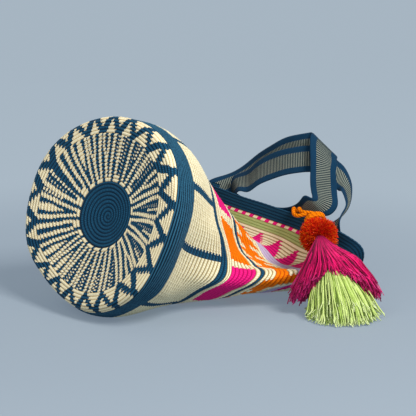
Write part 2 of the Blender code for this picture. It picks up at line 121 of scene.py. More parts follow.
STRAP = [
    ((-41, 255, 117), (-23, 253, 91), False),
    ((-35, 267, 127), (-14, 261, 107), False),
    ((-23, 282, 134), (-1, 267, 117), False),
    ((1, 294, 150), (23, 281, 130), False),
    ((20, 295, 165), (38, 283, 140), False),
    ((44, 293, 180), (60, 285, 151), False),
    ((65, 294, 192), (77, 290, 160), False),
    ((82, 296, 198), (92, 292, 165), False),
    ((100, 300, 202), (107, 297, 169), False),
    ((102, 301, 202), (120, 308, 169), True),
    ((104, 300, 202), (132.5, 315, 171.5), True),
    ((108, 296, 202.5), (136.5, 311.5, 172.5), True),
    ((111, 290, 200.5), (139.5, 307, 170.0), True),
    ((115, 284, 188), (143, 304.5, 166.5), True),
    ((119, 278, 169), (145, 302, 161), False),
    ((124, 272, 148), (149, 298, 144), False),
    ((129, 269, 134), (154, 294, 127), False),
    ((131, 267, 129), (157, 289, 113), False),
    ((129, 265, 130.5), (153, 283, 105), False),
    ((125, 263.5, 131), (142, 278, 104), False),
    ((119, 264, 125), (129, 279, 98), False),
    ((109, 268, 116), (112, 280, 88), False),
    ((89, 272, 108), (91, 281, 78), False),
    ((59, 274, 105), (63, 279, 74), False),
    ((31, 271, 107), (34, 274, 76), False),
    ((17, 270, 111), (22, 268, 82), False),
    ((5, 267, 118), (12, 261, 91), False),
    ((1, 268, 129), (13, 257, 112), False),
    ((5, 271, 138), (23, 254.5, 124), False),
    ((20, 274, 147), (36, 256, 123), False),
    ((37, 275, 161), (50, 260, 131), False),
    ((56, 277, 173), (66, 267, 140), False),
    ((76, 281, 181), (84, 273, 148), False),
    ((91, 286, 185), (99, 278, 152), False),
    ((106, 291, 187), (112, 285, 155), False),
    ((120, 300, 184), (124, 292, 154), False),
    ((130, 307, 176), (133, 298, 145), False),
    ((135, 318, 166), (140, 304, 137), False),
    ((139, 326, 157.5), (146, 304, 133), False),
    ((143, 329, 144), (151, 304, 135), False),
    ((147, 329, 131), (158, 302, 126), False),
    ((150, 324, 121), (163, 298, 119), False),
    ((153, 315, 112), (165, 291, 113), False),
    ((154, 303, 104), (166, 283, 106), False),
    ((152, 292, 97), (168, 277, 98), False),
    ((144, 281, 91), (172, 276, 84), False),
]

UPPER_SKIRT = [
    (288.5, -26, 6, 5, (86, 86, 86, 86)),
    (291, -23.5, 16, 7, (80, 80, 81, 80)),
    (296, -24, 27, 10, (73, 71, 74, 72)),
    (299, -25.5, 34, 13, (66, 63, 67, 62)),
    (302, -27, 42, 16, (52, 55, 53, 50)),
    (305, -27, 49, 17, (38, 52, 40, 46)),
    (305.5, -27, 53, 16, (24, 50, 29, 44)),
]
LOWER_SKIRT = [
    (305, -25, 15, 9, (34, 44, 36, 39)),
    (306, -22, 26, 18, (27, 40, 31, 33)),
    (308, -19, 35, 26, (19, 29, 25.5, 24)),
    (311, -14, 44, 32, (9, 15, 14, 12)),
    (311, -13, 45, 38, (3.5, 4, 5, 4)),
    (311, -13, 44, 38.5, (1, 1, 1, 1)),
]

# the lime threads start inside the magenta ones
LIME_FAN = [
    (295, -26, 6, 4, (68, 68, 68, 64)),
    (297.5, -25, 14, 11, (58, 64, 60, 56)),
    (301.5, -23.5, 22, 17, (43, 54, 47, 44)),
    (304.5, -21.5, 28, 22.5, (30, 43, 37, 33)),
    (307.5, -18.5, 32.5, 27.5, (19, 31, 27, 24)),
    (310, -15, 36, 32.5, (10, 18, 15, 12)),
    (311.5, -13, 38.5, 36.5, (3.5, 4, 5, 4)),
    (311.5, -13, 38, 37, (1, 1, 1, 1)),
]
MAGENTA_FAN = [
    (286.0, -36, 3, 2.5, (95, 95, 95, 95)),
    (286.5, -29, 5, 4, (93.5, 93.5, 93.5, 93.5)),
    (289, -25.5, 10, 6, (88, 88, 88, 88)),
    (292.5, -23.5, 17, 8.5, (80.5, 81, 82, 80.5)),
    (297, -23.5, 26, 12, (71, 73, 75, 71)),
    (300, -25, 33, 14.5, (59, 67, 67, 60)),
    (302.5, -26.5, 40.5, 17, (44, 61, 53, 48)),
    (304.5, -27, 47.5, 17.5, (29, 57, 37, 42)),
    (305.5, -27, 51.5, 16.5, (16, 55, 21, 38)),
]


# ------------------------------------------------------------ splines
def closed_spline(t, points, period, q):
    n = len(t)
    h = np.diff(np.append(t, t[0] + period))
    nxt = np.roll(points, -1, 0)
    a = np.zeros((n, n))
    b = np.zeros((n, points.shape[1]))
    for i in range(n):
        a[i, i - 1] += h[i - 1]
        a[i, i] += 2 * (h[i - 1] + h[i])
        a[i, (i + 1) % n] += h[i]
        b[i] = 6 * ((nxt[i] - points[i]) / h[i]
                    - (points[i] - points[i - 1]) / h[i - 1])
    m = np.linalg.solve(a, b)
    q = np.mod(q - t[0], period) + t[0]
    k = np.clip(np.searchsorted(t, q, side="right") - 1, 0, n - 1)
    k1 = (k + 1) % n
    x = (q - t[k])[:, None]
    hh = h[k][:, None]
    a0, b0 = (hh - x) / hh, x / hh
    return (a0 * points[k] + b0 * points[k1]
            + ((a0 ** 3 - a0) * m[k] + (b0 ** 3 - b0) * m[k1]) * hh ** 2 / 6)


def open_spline(t, points, q, start_slope=None):
    n = len(t)
    h = np.diff(t)
    shape = points.shape
    y = points.reshape(n, -1)
    a = np.zeros((n, n))
    b = np.zeros_like(y)
    a[0, 0] = a[-1, -1] = 1
    if start_slope is not None:
        a[0, 0], a[0, 1] = 2 * h[0], h[0]
        b[0] = 6 * ((y[1] - y[0]) / h[0] - start_slope.reshape(-1))
    for i in range(1, n - 1):
        a[i, i - 1], a[i, i], a[i, i + 1] = h[i - 1], 2 * (h[i - 1] + h[i]), h[i]
        b[i] = 6 * ((y[i + 1] - y[i]) / h[i] - (y[i] - y[i - 1]) / h[i - 1])
    m = np.linalg.solve(a, b)
    k = np.clip(np.searchsorted(t, q, side="right") - 1, 0, n - 2)
    x = (q - t[k])[:, None]
    hh = h[k][:, None]
    a0, b0 = (hh - x) / hh, x / hh
    z = (a0 * y[k] + b0 * y[k + 1]
         + ((a0 ** 3 - a0) * m[k] + (b0 ** 3 - b0) * m[k + 1]) * hh ** 2 / 6)
    return z.reshape((len(q),) + shape[1:])


def lengths(points):
    return np.append(0, np.cumsum(np.linalg.norm(np.diff(points, axis=0), axis=1)))


# ------------------------------------------------------------ the bag's surface
LEAN_C, LEAN_S = math.cos(BASE_LEAN), math.sin(BASE_LEAN)
BASE_OUT = np.array([0.0, -LEAN_C, LEAN_S])
BASE_UP = np.array([0.0, LEAN_S, LEAN_C])
BASE_SIDE = np.array([1.0, 0.0, 0.0])
FLAT = BASE_HALF_WIDTH - BASE_CORNER


def base_reach(angle):
    table = np.array(BASE_OUTLINE)
    return closed_spline(table[:, 0], table[:, 1:], 360.0, np.degrees(angle))[:, 0]


def base_ring(radius, depth, count):
    a = FIRST_COLUMN + 2 * math.pi * np.arange(count) / count
    oval = BASE_HALF_HEIGHT / BASE_HALF_WIDTH
    reach = radius * base_reach(a)[:, None]
    return (np.array(BASE_CENTRE)
            + reach * (np.cos(a)[:, None] * BASE_SIDE
                       + oval * np.sin(a)[:, None] * BASE_UP)
            - depth * BASE_OUT)


def wall_row(points, floor_index, count):
    p = np.array(points, float)
    t = lengths(np.vstack([p, p[:1]]))
    period, t = t[-1], t[:-1]
    q = np.unique(np.append(np.linspace(0, period, 1201), t[floor_index]))
    arc = lengths(closed_spline(t, p, period, q))
    at_floor = arc[np.searchsorted(q, t[floor_index])]
    want = np.interp(np.arange(count) / count, [0, FLOOR_COLUMN, 1],
                     [0, at_floor, arc[-1]])
    return closed_spline(t, p, period, np.interp(want, arc, q))


def above_floor(p):
    ease, press = 2.0, 3.0
    p = p.copy()
    z = p[..., 2] - press * np.clip(1 - p[..., 2] / 25.0, 0, 1)
    p[..., 2] = np.where(z > ease, z,
                         np.where(z < -ease, 0.0, (z + ease) ** 2 / (4 * ease)))
    return p


def wall_grid(along, count):
    rows = [base_ring(BASE_HALF_WIDTH, BASE_CORNER, count)]
    rows += [wall_row(pts, k, count) for _, k, pts in ROWS]
    t = np.array([0.8 * BASE_CORNER] + [s for s, _, _ in ROWS], float)
    start = np.tile(-BASE_OUT, (count, 1))
    return above_floor(open_spline(t, np.array(rows),
                                   np.clip(along, t[0], t[-1]), start))


CORNER_HALF = BASE_CORNER * math.pi / 4


def surface(along, count):
    """Rings of the whole outside. along is mm of cloth from the base's edge,
    negative on the base itself, down to -(FLAT + CORNER_HALF) at its middle."""
    along = np.asarray(along, float)
    out = np.zeros((len(along), count, 3))
    wall = along >= 0.8 * BASE_CORNER
    if wall.any():
        out[wall] = wall_grid(along[wall], count)
    for i in np.nonzero(~wall)[0]:
        s = along[i]
        if s > -CORNER_HALF:
            a = (s + CORNER_HALF) / BASE_CORNER
            out[i] = base_ring(FLAT + BASE_CORNER * math.sin(a),
                               BASE_CORNER * (1 - math.cos(a)), count)
        else:
            r = max(FLAT + s + CORNER_HALF, 0.02)
            depth = BASE_DISH * (1 - (r / 100.0) ** 2) if r < 100 else 0.0
            out[i] = base_ring(r, depth, count)
    return out


def outward(grid):
    """Unit normals of a grid of rings, pointing out of the bag."""
    around = np.roll(grid, -1, 1) - np.roll(grid, 1, 1)
    length = np.gradient(grid, axis=0)
    n = np.cross(length, around)
    n /= np.maximum(np.linalg.norm(n, axis=2), 1e-9)[..., None]
    return n


BASE_MIDDLE = -(FLAT + CORNER_HALF)
STITCHES, PER_STITCH = 132, 3
COUNT = STITCHES * PER_STITCH
BLUE, CREAM, MAGENTA, ORANGE, LILAC, GREEN = range(6)

# where the zones of the wall begin, in mm of cloth from the base's edge, at
# places round the bag given in 140ths of a turn (the cloth is stretched)
PLACES = [-24, -18, -12, -8, -4, 0.5, 4, 8, 13, 18, 24, 40, 70, 100]
ZONES = [
    ("band", 9, [10, 6.5, 0.5, -3.5, -6, -6.5, -5, -2, 2, 7, 10, 12, 12, 12]),
    ("panel", 14, [36, 34, 34, 33, 35.5, 38, 38, 38, 36, 33.5, 35, 44, 46, 44]),
    ("line_1", 2, [120, 120, 120, 120.5, 122.5, 127, 122, 114, 115, 116, 117, 120, 120, 120]),
    ("gap_1", 2, [131, 131, 131, 132, 135, 138, 133, 126, 128, 129, 130, 131, 131, 131]),
    ("motif", 6, [139, 139, 138, 138, 141, 145, 143.5, 143.5, 143, 142, 142, 142, 142, 142]),
    ("gap_2", 1, [168, 168, 168, 171, 173.5, 177.5, 173, 173.5, 171.5, 171.5, 172, 173, 173, 172]),
    ("line_2", 1, [176, 176, 176, 177.5, 179.5, 182, 178, 178.5, 177, 177, 177, 177, 177, 177]),
    ("zigzag", 8, [181, 181, 181, 182.5, 184.5, 187, 183, 183.5, 182, 182, 182, 182, 182, 182]),
    ("lilac", 3, [238, 238, 233, 226, 221] + [220] * 9),
    ("teeth", 6, [250, 250, 246, 240, 236] + [235] * 9),
    ("beige", 1, [271, 271, 270, 268, 267.5] + [267.5] * 9),
    ("green", 3, [273] * 14), ("dots", 1, [285] * 14), ("rim", 4, [289.8] * 14),
]


def zone_starts():
    """Starting place of every zone at each column, softened round the bag."""
    c = np.arange(COUNT) * 140.0 / COUNT
    k = np.exp(-np.linspace(-2.4, 2.4, 13) ** 2)
    k /= k.sum()
    out = []
    for _, _, values in ZONES:
        v = np.interp(c, PLACES, values, period=140)
        v = np.convolve(np.concatenate([v[-6:], v, v[:6]]), k, "valid")
        out.append(v)
    out.append(np.full(COUNT, WALL_LENGTH))
    return np.array(out)


STARTS = zone_starts()
NEAR = np.exp(-(((np.arange(COUNT) * 140.0 / COUNT + 70 - 1) % 140 - 70) / 17.0) ** 2)
ROW_NAMES = [(name, r) for name, count, _ in ZONES for r in range(count)]


def wall_along(per_row):
    """Ring places (ring, column) from the blue band to the rim, row numbers."""
    along, rows, total = [], [], 0
    steps = [0.073, 0.145, 0.223, 0.318, 0.443, 0.58, 0.716, 0.852]
    uneven = np.concatenate([[0.0], steps, [1.0]])
    for z, (name, count, _) in enumerate(ZONES):
        for i in range(count * per_row):
            t = i / (count * per_row)
            if name == "band":
                t = NEAR * np.interp(t * 9, np.arange(10), uneven) + (1 - NEAR) * t
            elif name == "panel":
                t = t * (1 + 0.16 * NEAR * (1 - t))
            along.append(STARTS[z] + (STARTS[z + 1] - STARTS[z]) * t)
            rows.append(total + i / per_row)
        total += count
    along.append(STARTS[-1])
    rows.append(total)
    return np.array(along), np.array(rows)


FINE_S = np.arange(-40.0, WALL_LENGTH + 0.5, 1.0)
FINE = surface(np.minimum(FINE_S, WALL_LENGTH), COUNT)


def at_places(along):
    """Points of the outside at (ring, column) places, in mm along each column."""
    f = np.clip(along - FINE_S[0], 0, len(FINE_S) - 1.001)
    k = f.astype(int)
    t = (f - k)[..., None]
    c = np.arange(COUNT)[None]
    return FINE[k, c] * (1 - t) + FINE[k + 1, c] * t


def stretched(c):
    """The near lower side is stretched: its stitches are wider there."""
    c = (np.asarray(c, float) + STITCHES / 2) % STITCHES - STITCHES / 2
    return np.interp(c, [-66, -31, -19, -3, 66], [-66, -20.8, -13.0, -3, 66])


def wall_colour(name, r, c):
    """Yarn at row r of a zone, at stitch c (a whole number) round the wall."""
    if name == "teeth":
        pitch = STITCHES / 27.0
        f = (12.75 - c) % pitch
        return MAGENTA if f < 4.15 - 0.66 * r else CREAM
    c = int(math.floor(c)) % STITCHES
    if name in ("band", "line_1", "line_2", "rim"):
        return BLUE
    if name in ("gap_1", "gap_2", "beige"):
        return CREAM
    if name == "zigzag":
        unit = (23 - c) % 33
        if unit < 24:
            q = unit % 3
            return ORANGE if (1.4, 2.4, 0.4)[q] <= r + 0.5 < (4.4, 5.6, 7.2)[q] else CREAM
        low, high = [(2.4, 7.8), (2.8, 7.8), (3.1, 7.0), (3.4, 6.0), (2.6, 6.0),
                     (1.2, 8.0), (0.8, 8.0), (1.4, 4.6), (1.8, 3.6)][unit - 24]
        return ORANGE if low <= r + 0.5 < high else CREAM
    if name == "lilac":
        return LILAC
    if name == "green":
        return GREEN
    if name == "dots":
        return MAGENTA if c % 2 == 0 else CREAM
    return CREAM


def panel_colour(c):
    return BLUE if (c + 0.27) % 12 < 1.34 else CREAM


def motif_colour(r, c):
    x = (c + 0.1 + 0.24 * r + 66) % STITCHES - 66
    if (x + 1.05) % 12 < 2.1:
        return CREAM
    return MAGENTA if int(math.floor(x / 12.0)) % 2 else ORANGE


def wall_row_colours(name, r, part):
    """Colours of one strip of a row; part is how far up the row it lies."""
    c = stretched((np.arange(COUNT) + 0.5) / PER_STITCH + 0.30 * (part - 0.5))
    if name == "panel":
        return [panel_colour(x) for x in c]
    if name == "motif":
        return [motif_colour(r, x) for x in c]
    return [wall_colour(name, r, x + 0.2 if name == "zigzag" else x) for x in c]


# the base: pattern rows 0 to 29 from its middle to the blue band
DISC_ROWS, ARCH_ROW, BASE_ROWS, PETALS = 9, 22, 29, 21
KINDS = "CDECEDDBAEBABBCCFCDCC"


def base_points(row, per):
    """Ring of the base at a pattern row. The middle lies off centre."""
    phi = 2 * math.pi * np.arange(COUNT) / COUNT
    near = np.exp(-((((phi + math.pi) % (2 * math.pi)) - math.pi) / 0.7) ** 2)
    arch = (20.9 - 2.3 * near) * 4.9
    if row <= ARCH_ROW:
        if row <= DISC_ROWS:
            radius = 42.1 * row / DISC_ROWS * np.ones(COUNT)
        else:
            t = (row - DISC_ROWS) / (ARCH_ROW - DISC_ROWS)
            radius = 42.1 + (arch - 42.1) * t
        off = max(0.0, 1 - row / ARCH_ROW) ** 1.3
        a = FIRST_COLUMN + phi
        radius = radius * (1 + (base_reach(a) - 1) * min(1.0, row / ARCH_ROW))
        x = 12.0 * off + radius * np.cos(a)
        y = -2.0 * off + radius * np.sin(a)
        r = np.hypot(x, y)
        depth = np.where(r < 100, BASE_DISH * (1 - (np.minimum(r, 100) / 100.0) ** 2), 0.0)
        depth = depth + 1.6 * np.exp(-((r - 38) / 9.0) ** 2) * 0.0
        oval = BASE_HALF_HEIGHT / BASE_HALF_WIDTH
        return (np.array(BASE_CENTRE) + x[:, None] * BASE_SIDE
                + (oval * y)[:, None] * BASE_UP - depth[:, None] * BASE_OUT)
    s0 = arch + BASE_MIDDLE
    t = (row - ARCH_ROW) / (BASE_ROWS - ARCH_ROW)
    return at_places((s0 + (STARTS[0] - s0) * t)[None])[0]


def base_colour(row, part, phi):
    """Yarn of pattern row `row`, a quarter `part` of the way up it, at phi."""
    if row < DISC_ROWS:
        return BLUE
    t = (row + part - DISC_ROWS) / (ARCH_ROW - DISC_ROWS)
    turn = math.radians(20.5) * (1 - min(t, 1)) + min(t, 1) * (
        math.radians(17.1) + math.radians(4.5) * math.cos(2 * (phi - math.radians(50))))
    a = (phi - turn) / (2 * math.pi) * PETALS
    slant = 0.36 * (part - 0.5) * (0.42 if row < 12 else 0.25)
    a += slant
    i = math.floor(a + 0.5)
    x = a - i
    kind = KINDS[i % PETALS]
    # cream teeth between the petals, wide side out
    if row >= 24:
        y = abs(a - math.floor(a) - 0.5)
        if y < (0.05, 0.13, 0.22, 0.33, 0.36)[row - 24]:
            return CREAM
    if row >= ARCH_ROW:
        wide = kind in "BCF"
        if row < 26:
            edge = ((0.37, 0.25, 0.15, 0.06) if wide else (0.25, 0.17, 0.10, 0.04))[row - 22]
            if abs(x) < edge:
                return CREAM
        return BLUE
    tilt = 0.13 * (part - 0.5)
    # the thin lines are dashes, and neighbours take turns
    rope, turn_b = (0.055, 0.0) if part < 0.5 else (0.0, 0.055)
    ax = abs(x)
    if row == 9:
        return CREAM if ax < 0.34 else BLUE
    if row == 10 and kind in "AE":
        return CREAM if ax < 0.32 else BLUE
    thick = 0.125 - 0.040 * t
    if kind == "A":
        spot = 0.23 - 0.02 * t + (0.05 if row in (11, 12, 13) else 0.0)
        return CREAM if abs(ax - spot) < thick else BLUE
    if kind == "B":
        spot = 0.215 + 0.185 * min(1.0, 1.5 * t)
        if abs(ax - spot) < thick - 0.01:
            return CREAM
        bar = {14: 0.04, 15: 0.07, 16: 0.11, 17: 0.15, 18: 0.16, 19: 0.15, 20: 0.13, 21: 0.11}
        return CREAM if ax < bar.get(row, 0.0) else BLUE
    if kind in "CF":
        spot = 0.215 + (0.17 if kind == "C" else 0.10) * min(1.0, 1.4 * t)
        if abs(ax - spot) < thick - 0.01:
            return CREAM
        if row > 13 and (abs(x - 0.06 - tilt) < rope or (row > 16 and abs(x + 0.12 - tilt) < turn_b)):
            return CREAM
        return BLUE
    if kind == "D":
        if abs(x + 0.215 + 0.13 * t) < thick:
            return CREAM
        if row < 15:
            return CREAM if abs(x - 0.215) < thick else BLUE
        u = (row - 14) / 7.0
        if abs(x - 0.19 + 0.13 * min(1, 2 * u)) < 0.075 or abs(x - 0.22 - 0.18 * min(1, 2 * u)) < 0.07:
            return CREAM
        return BLUE
    # dashes beside one plain arm
    if abs(x - 0.20) < thick:
        return CREAM
    if (abs(x + 0.25 - tilt) < rope * 1.15 or (row > 13 and abs(x + 0.03 - tilt) < turn_b)
            or (row > 14 and abs(x - 0.40 - tilt) < rope)):
        return CREAM
    return BLUE


# ------------------------------------------------------------ materials
def lin(r, g, b):
    out = []
    for v in (r, g, b):
        v /= 255.0
        out.append(v / 12.92 if v <= 0.04045 else ((v + 0.055) / 1.055) ** 2.4)
    return (*out, 1.0)


class Nodes:
    """Small helper for wiring a material."""

    def __init__(self, name):
        self.mat = bpy.data.materials.new(name)
        self.mat.use_nodes = True
        self.tree = self.mat.node_tree
        self.bsdf = self.tree.nodes["Principled BSDF"]

    def node(self, kind, **props):
        n = self.tree.nodes.new(kind)
        for k, v in props.items():
            setattr(n, k, v)
        return n

    def put(self, socket, value):
        if hasattr(value, "is_output") or isinstance(value, bpy.types.NodeSocket):
            self.tree.links.new(value, socket)
        else:
            socket.default_value = value

    def math(self, op, a, b=0.0, c=None, clamp=False):
        n = self.node("ShaderNodeMath", operation=op, use_clamp=clamp)
        self.put(n.inputs[0], a)
        self.put(n.inputs[1], b)
        if c is not None:
            self.put(n.inputs[2], c)
        return n.outputs[0]

    def mix(self, fac, a, b, blend="MIX"):
        n = self.node("ShaderNodeMix", data_type="RGBA", blend_type=blend)
        self.put(n.inputs[0], fac)
        self.put(n.inputs[6], a)
        self.put(n.inputs[7], b)
        return n.outputs[2]

    def range(self, v, a, b, c=0.0, d=1.0, smooth=True):
        n = self.node("ShaderNodeMapRange")
        n.interpolation_type = "SMOOTHSTEP" if smooth else "LINEAR"
        for i, x in enumerate((v, a, b, c, d)):
            self.put(n.inputs[i], x)
        return n.outputs[0]

    def uv(self):
        s = self.node("ShaderNodeSeparateXYZ")
        self.put(s.inputs[0], self.node("ShaderNodeUVMap", uv_map="UVMap").outputs[0])
        return s.outputs[0], s.outputs[1]

    def noise(self, scale, detail=3.0, rough=0.55, vector=None):
        n = self.node("ShaderNodeTexNoise")
        n.inputs["Scale"].default_value = scale
        n.inputs["Detail"].default_value = detail
        n.inputs["Roughness"].default_value = rough
        if vector is None:
            vector = self.node("ShaderNodeTexCoord").outputs["Object"]
        self.put(n.inputs["Vector"], vector)
        return n.outputs[0]

    def bump(self, height, strength, distance, normal=None):
        n = self.node("ShaderNodeBump")
        n.inputs["Strength"].default_value = strength
        n.inputs["Distance"].default_value = distance
        self.put(n.inputs["Height"], height)
        if normal is not None:
            self.put(n.inputs["Normal"], normal)
        return n.outputs[0]

    def surface(self, colour, rough, normal=None, sheen=0.0, spec=0.3):
        self.put(self.bsdf.inputs["Base Color"], colour)
        self.bsdf.inputs["Roughness"].default_value = rough
        self.bsdf.inputs["Specular IOR Level"].default_value = spec
        if sheen:
            self.bsdf.inputs["Sheen Weight"].default_value = sheen
            self.bsdf.inputs["Sheen Roughness"].default_value = 0.5
        if normal is not None:
            self.put(self.bsdf.inputs["Normal"], normal)
        return self.mat


def crochet(name, colour, dark, highlight, groove=0.5, sheen=0.04, ridge_highlight_amount=0.6, legs=0.6):
    """Yarn worked in rows: UV is in stitches round and rows up. The second colour is painted shade in the
    grooves, also used for random darker patches; the third is a painted highlight on the row tops.
    """
    n = Nodes(name)
    u, v = n.uv()
    row = n.math("ABSOLUTE", n.math("SINE", n.math("MULTIPLY", v, math.pi)))
    fv = n.math("FRACT", v)
    slant = n.math("ADD", u, n.math("MULTIPLY", fv, 0.5))
    stitch = n.math("ABSOLUTE", n.math("SINE", n.math("MULTIPLY", slant, math.pi)))
    leg = n.math("ABSOLUTE", n.math("SINE", n.math("MULTIPLY", n.math(
        "ADD", n.math("MULTIPLY", u, 2.0), n.math("MULTIPLY", fv, 1.15)), math.pi)))
    twist = n.math("SINE", n.math("MULTIPLY", n.math(
        "ADD", n.math("MULTIPLY", u, 5.0), n.math("MULTIPLY", v, 3.0)), 2 * math.pi))
    fine = n.noise(900.0, 2.0)
    patch = n.noise(28.0, 3.0)
    fuzz = n.noise(260.0, 3.0)
    height = n.math("ADD", n.math("MULTIPLY", n.math("POWER", row, 0.55), 0.6),
                    n.math("MULTIPLY", n.math("POWER", stitch, 0.5), 0.12))
    height = n.math("ADD", height, n.math("MULTIPLY", n.math("POWER", leg, 0.6), 0.3))
    height = n.math("ADD", height, n.math("MULTIPLY", twist, 0.05))
    height = n.math("ADD", height, n.math("MULTIPLY", fine, 0.22))
    # painted shade: the grooves between rows and between stitch legs are mixed towards the darker colour
    groove_shade = n.math("MULTIPLY", n.range(row, 0.0, groove), n.range(leg, -0.5, 0.4), clamp=True)
    col = n.mix(groove_shade, dark, colour)
    # painted highlight: the tops of the rows are mixed towards the lighter colour
    top = n.math("MULTIPLY", row, n.math("ADD", n.math("MULTIPLY", leg, legs), 1.0 - legs))
    col = n.mix(n.range(top, 0.45, 0.98, 0.0, ridge_highlight_amount), col, highlight)
    col = n.mix(n.range(patch, 0.35, 0.7, 0.0, 0.12), col, dark)
    col = n.mix(n.range(fuzz, 0.3, 0.75, 0.0, 0.14), col, dark)
    return n.surface(col, 0.86, n.bump(height, 0.75, 0.0011), sheen=sheen, spec=0.12)


# each yarn: own colour, painted groove shade colour, painted ridge highlight colour, groove width, sheen,
# highlight amount, legs. The band, rim and base cream are copies of the blue and cream yarns with other
# painted shade: the band a little darker with darker grooves and lighter tops, the rim darker and flatter as
# painted shade, the base cream with lighter grooves
BLUE_RGB = (lin(14, 62, 90), lin(2, 26, 42), lin(34, 98, 130), 0.6, 0.03, 0.7)
BAND_PAINTED_RELIEF_RGB = (lin(10, 56, 84), lin(0, 12, 22), lin(50, 106, 134), 0.9, 0.03, 0.9, 0.15)
RIM_SHADED_RGB = (lin(12, 54, 80), lin(2, 26, 40), lin(26, 80, 110), 0.5, 0.03, 0.6)
BASE_CREAM_RGB = (lin(244, 230, 188), lin(190, 158, 104), lin(255, 247, 216), 0.55, 0.04, 0.8)
CREAM_RGB = (lin(242, 230, 186), lin(150, 124, 74), lin(255, 250, 222), 0.85, 0.04, 0.85)
MAGENTA_RGB = (lin(228, 14, 120), lin(140, 0, 66), lin(250, 48, 148), 0.5, 0.02, 0.6)
ORANGE_RGB = (lin(244, 116, 0), lin(176, 62, 0), lin(252, 142, 4), 0.55, 0.0, 0.6)
LILAC_RGB = (lin(198, 180, 212), lin(140, 120, 160), lin(216, 202, 228), 0.4, 0.04, 0.5)
GREEN_RGB = (lin(166, 184, 112), lin(116, 134, 66), lin(196, 208, 146), 0.45, 0.04, 0.6)
YARNS = [crochet("yarn_blue", *BLUE_RGB), crochet("yarn_cream", *CREAM_RGB),
         crochet("yarn_magenta", *MAGENTA_RGB), crochet("yarn_orange", *ORANGE_RGB),
         crochet("yarn_lilac", *LILAC_RGB), crochet("yarn_green", *GREEN_RGB),
         crochet("yarn_blue_band_painted_relief", *BAND_PAINTED_RELIEF_RGB), crochet("yarn_blue_rim_shaded", *RIM_SHADED_RGB)]
BASE_YARNS = [YARNS[0], crochet("yarn_cream_base", *BASE_CREAM_RGB)] + YARNS[2:6]
BAND, RIM = 6, 7


# ------------------------------------------------------------ mesh helpers
def make(name, verts, faces, mats, indices=None, uvs=None, smooth=True):
    """Mesh piece from points in mm. uvs is per face corner."""
    mesh = bpy.data.meshes.new(name)
    verts = (np.asarray(verts, float) - ORIGIN) * MM
    faces = np.asarray(faces)
    n, k = faces.shape
    mesh.vertices.add(len(verts))
    mesh.vertices.foreach_set("co", verts.ravel())
    mesh.loops.add(n * k)
    mesh.loops.foreach_set("vertex_index", faces.ravel().astype(np.int32))
    mesh.polygons.add(n)
    mesh.polygons.foreach_set("loop_start", np.arange(0, n * k, k, dtype=np.int32))
    mesh.polygons.foreach_set("loop_total", np.full(n, k, dtype=np.int32))
    for m in mats:
        mesh.materials.append(m)
    if indices is not None:
        mesh.polygons.foreach_set("material_index", np.asarray(indices, dtype=np.int32))
    mesh.update(calc_edges=True)
    mesh.validate()
    if uvs is not None:
        layer = mesh.uv_layers.new(name="UVMap")
        layer.data.foreach_set("uv", np.asarray(uvs, float).ravel())
    if smooth:
        mesh.shade_smooth()
    obj = bpy.data.objects.new(name, mesh)
    bpy.context.scene.collection.objects.link(obj)
    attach(obj, "root")
    return obj


def ring_faces(rings, count, flip=False):
    """Quads between closed rings."""
    i = np.arange(rings - 1)[:, None]
    j = np.arange(count)[None]
    k = (j + 1) % count
    a, b = i * count, (i + 1) * count
    f = np.stack([a + j, b + j, b + k, a + k], -1)
    if flip:
        f = f[..., ::-1]
    return f.reshape(-1, 4)


def ring_uvs(v_of_ring, count, stitches, shift=0.0, flip=False):
    """UV per corner to go with ring_faces: stitches round, rows up."""
    rings = len(v_of_ring)
    u = (np.arange(count + 1) + shift) * stitches / count
    u0 = np.broadcast_to(u[:-1][None], (rings - 1, count))
    u1 = np.broadcast_to(u[1:][None], (rings - 1, count))
    v0 = np.broadcast_to(v_of_ring[:-1][:, None], (rings - 1, count))
    v1 = np.broadcast_to(v_of_ring[1:][:, None], (rings - 1, count))
    uv = np.stack([np.stack([u0, v0], -1), np.stack([u0, v1], -1),
                   np.stack([u1, v1], -1), np.stack([u1, v0], -1)], 2)
    if flip:
        uv = uv[:, :, ::-1]
    return uv.reshape(-1, 2)


def ridge(phase, sharp=0.75):
    """Height of a row's rounded ridge, 0 in the groove and 1 on top."""
    return np.abs(np.sin(np.pi * phase)) ** sharp


# ------------------------------------------------------------ the wall
PER_ROW = 3


def stitches(u, v):
    """Height of the slanting stitches of a row, 0 to 1."""
    return ridge(u + 0.5 * (v % 1), 0.7)


RIDGE = {"lilac": 0.6, "teeth": 0.55, "beige": 0.5, "green": 0.55, "dots": 0.5, "rim": 0.45,
         "band": 1.3, "panel": 1.4, "gap_1": 1.2, "motif": 1.2, "gap_2": 1.2, "zigzag": 1.15}


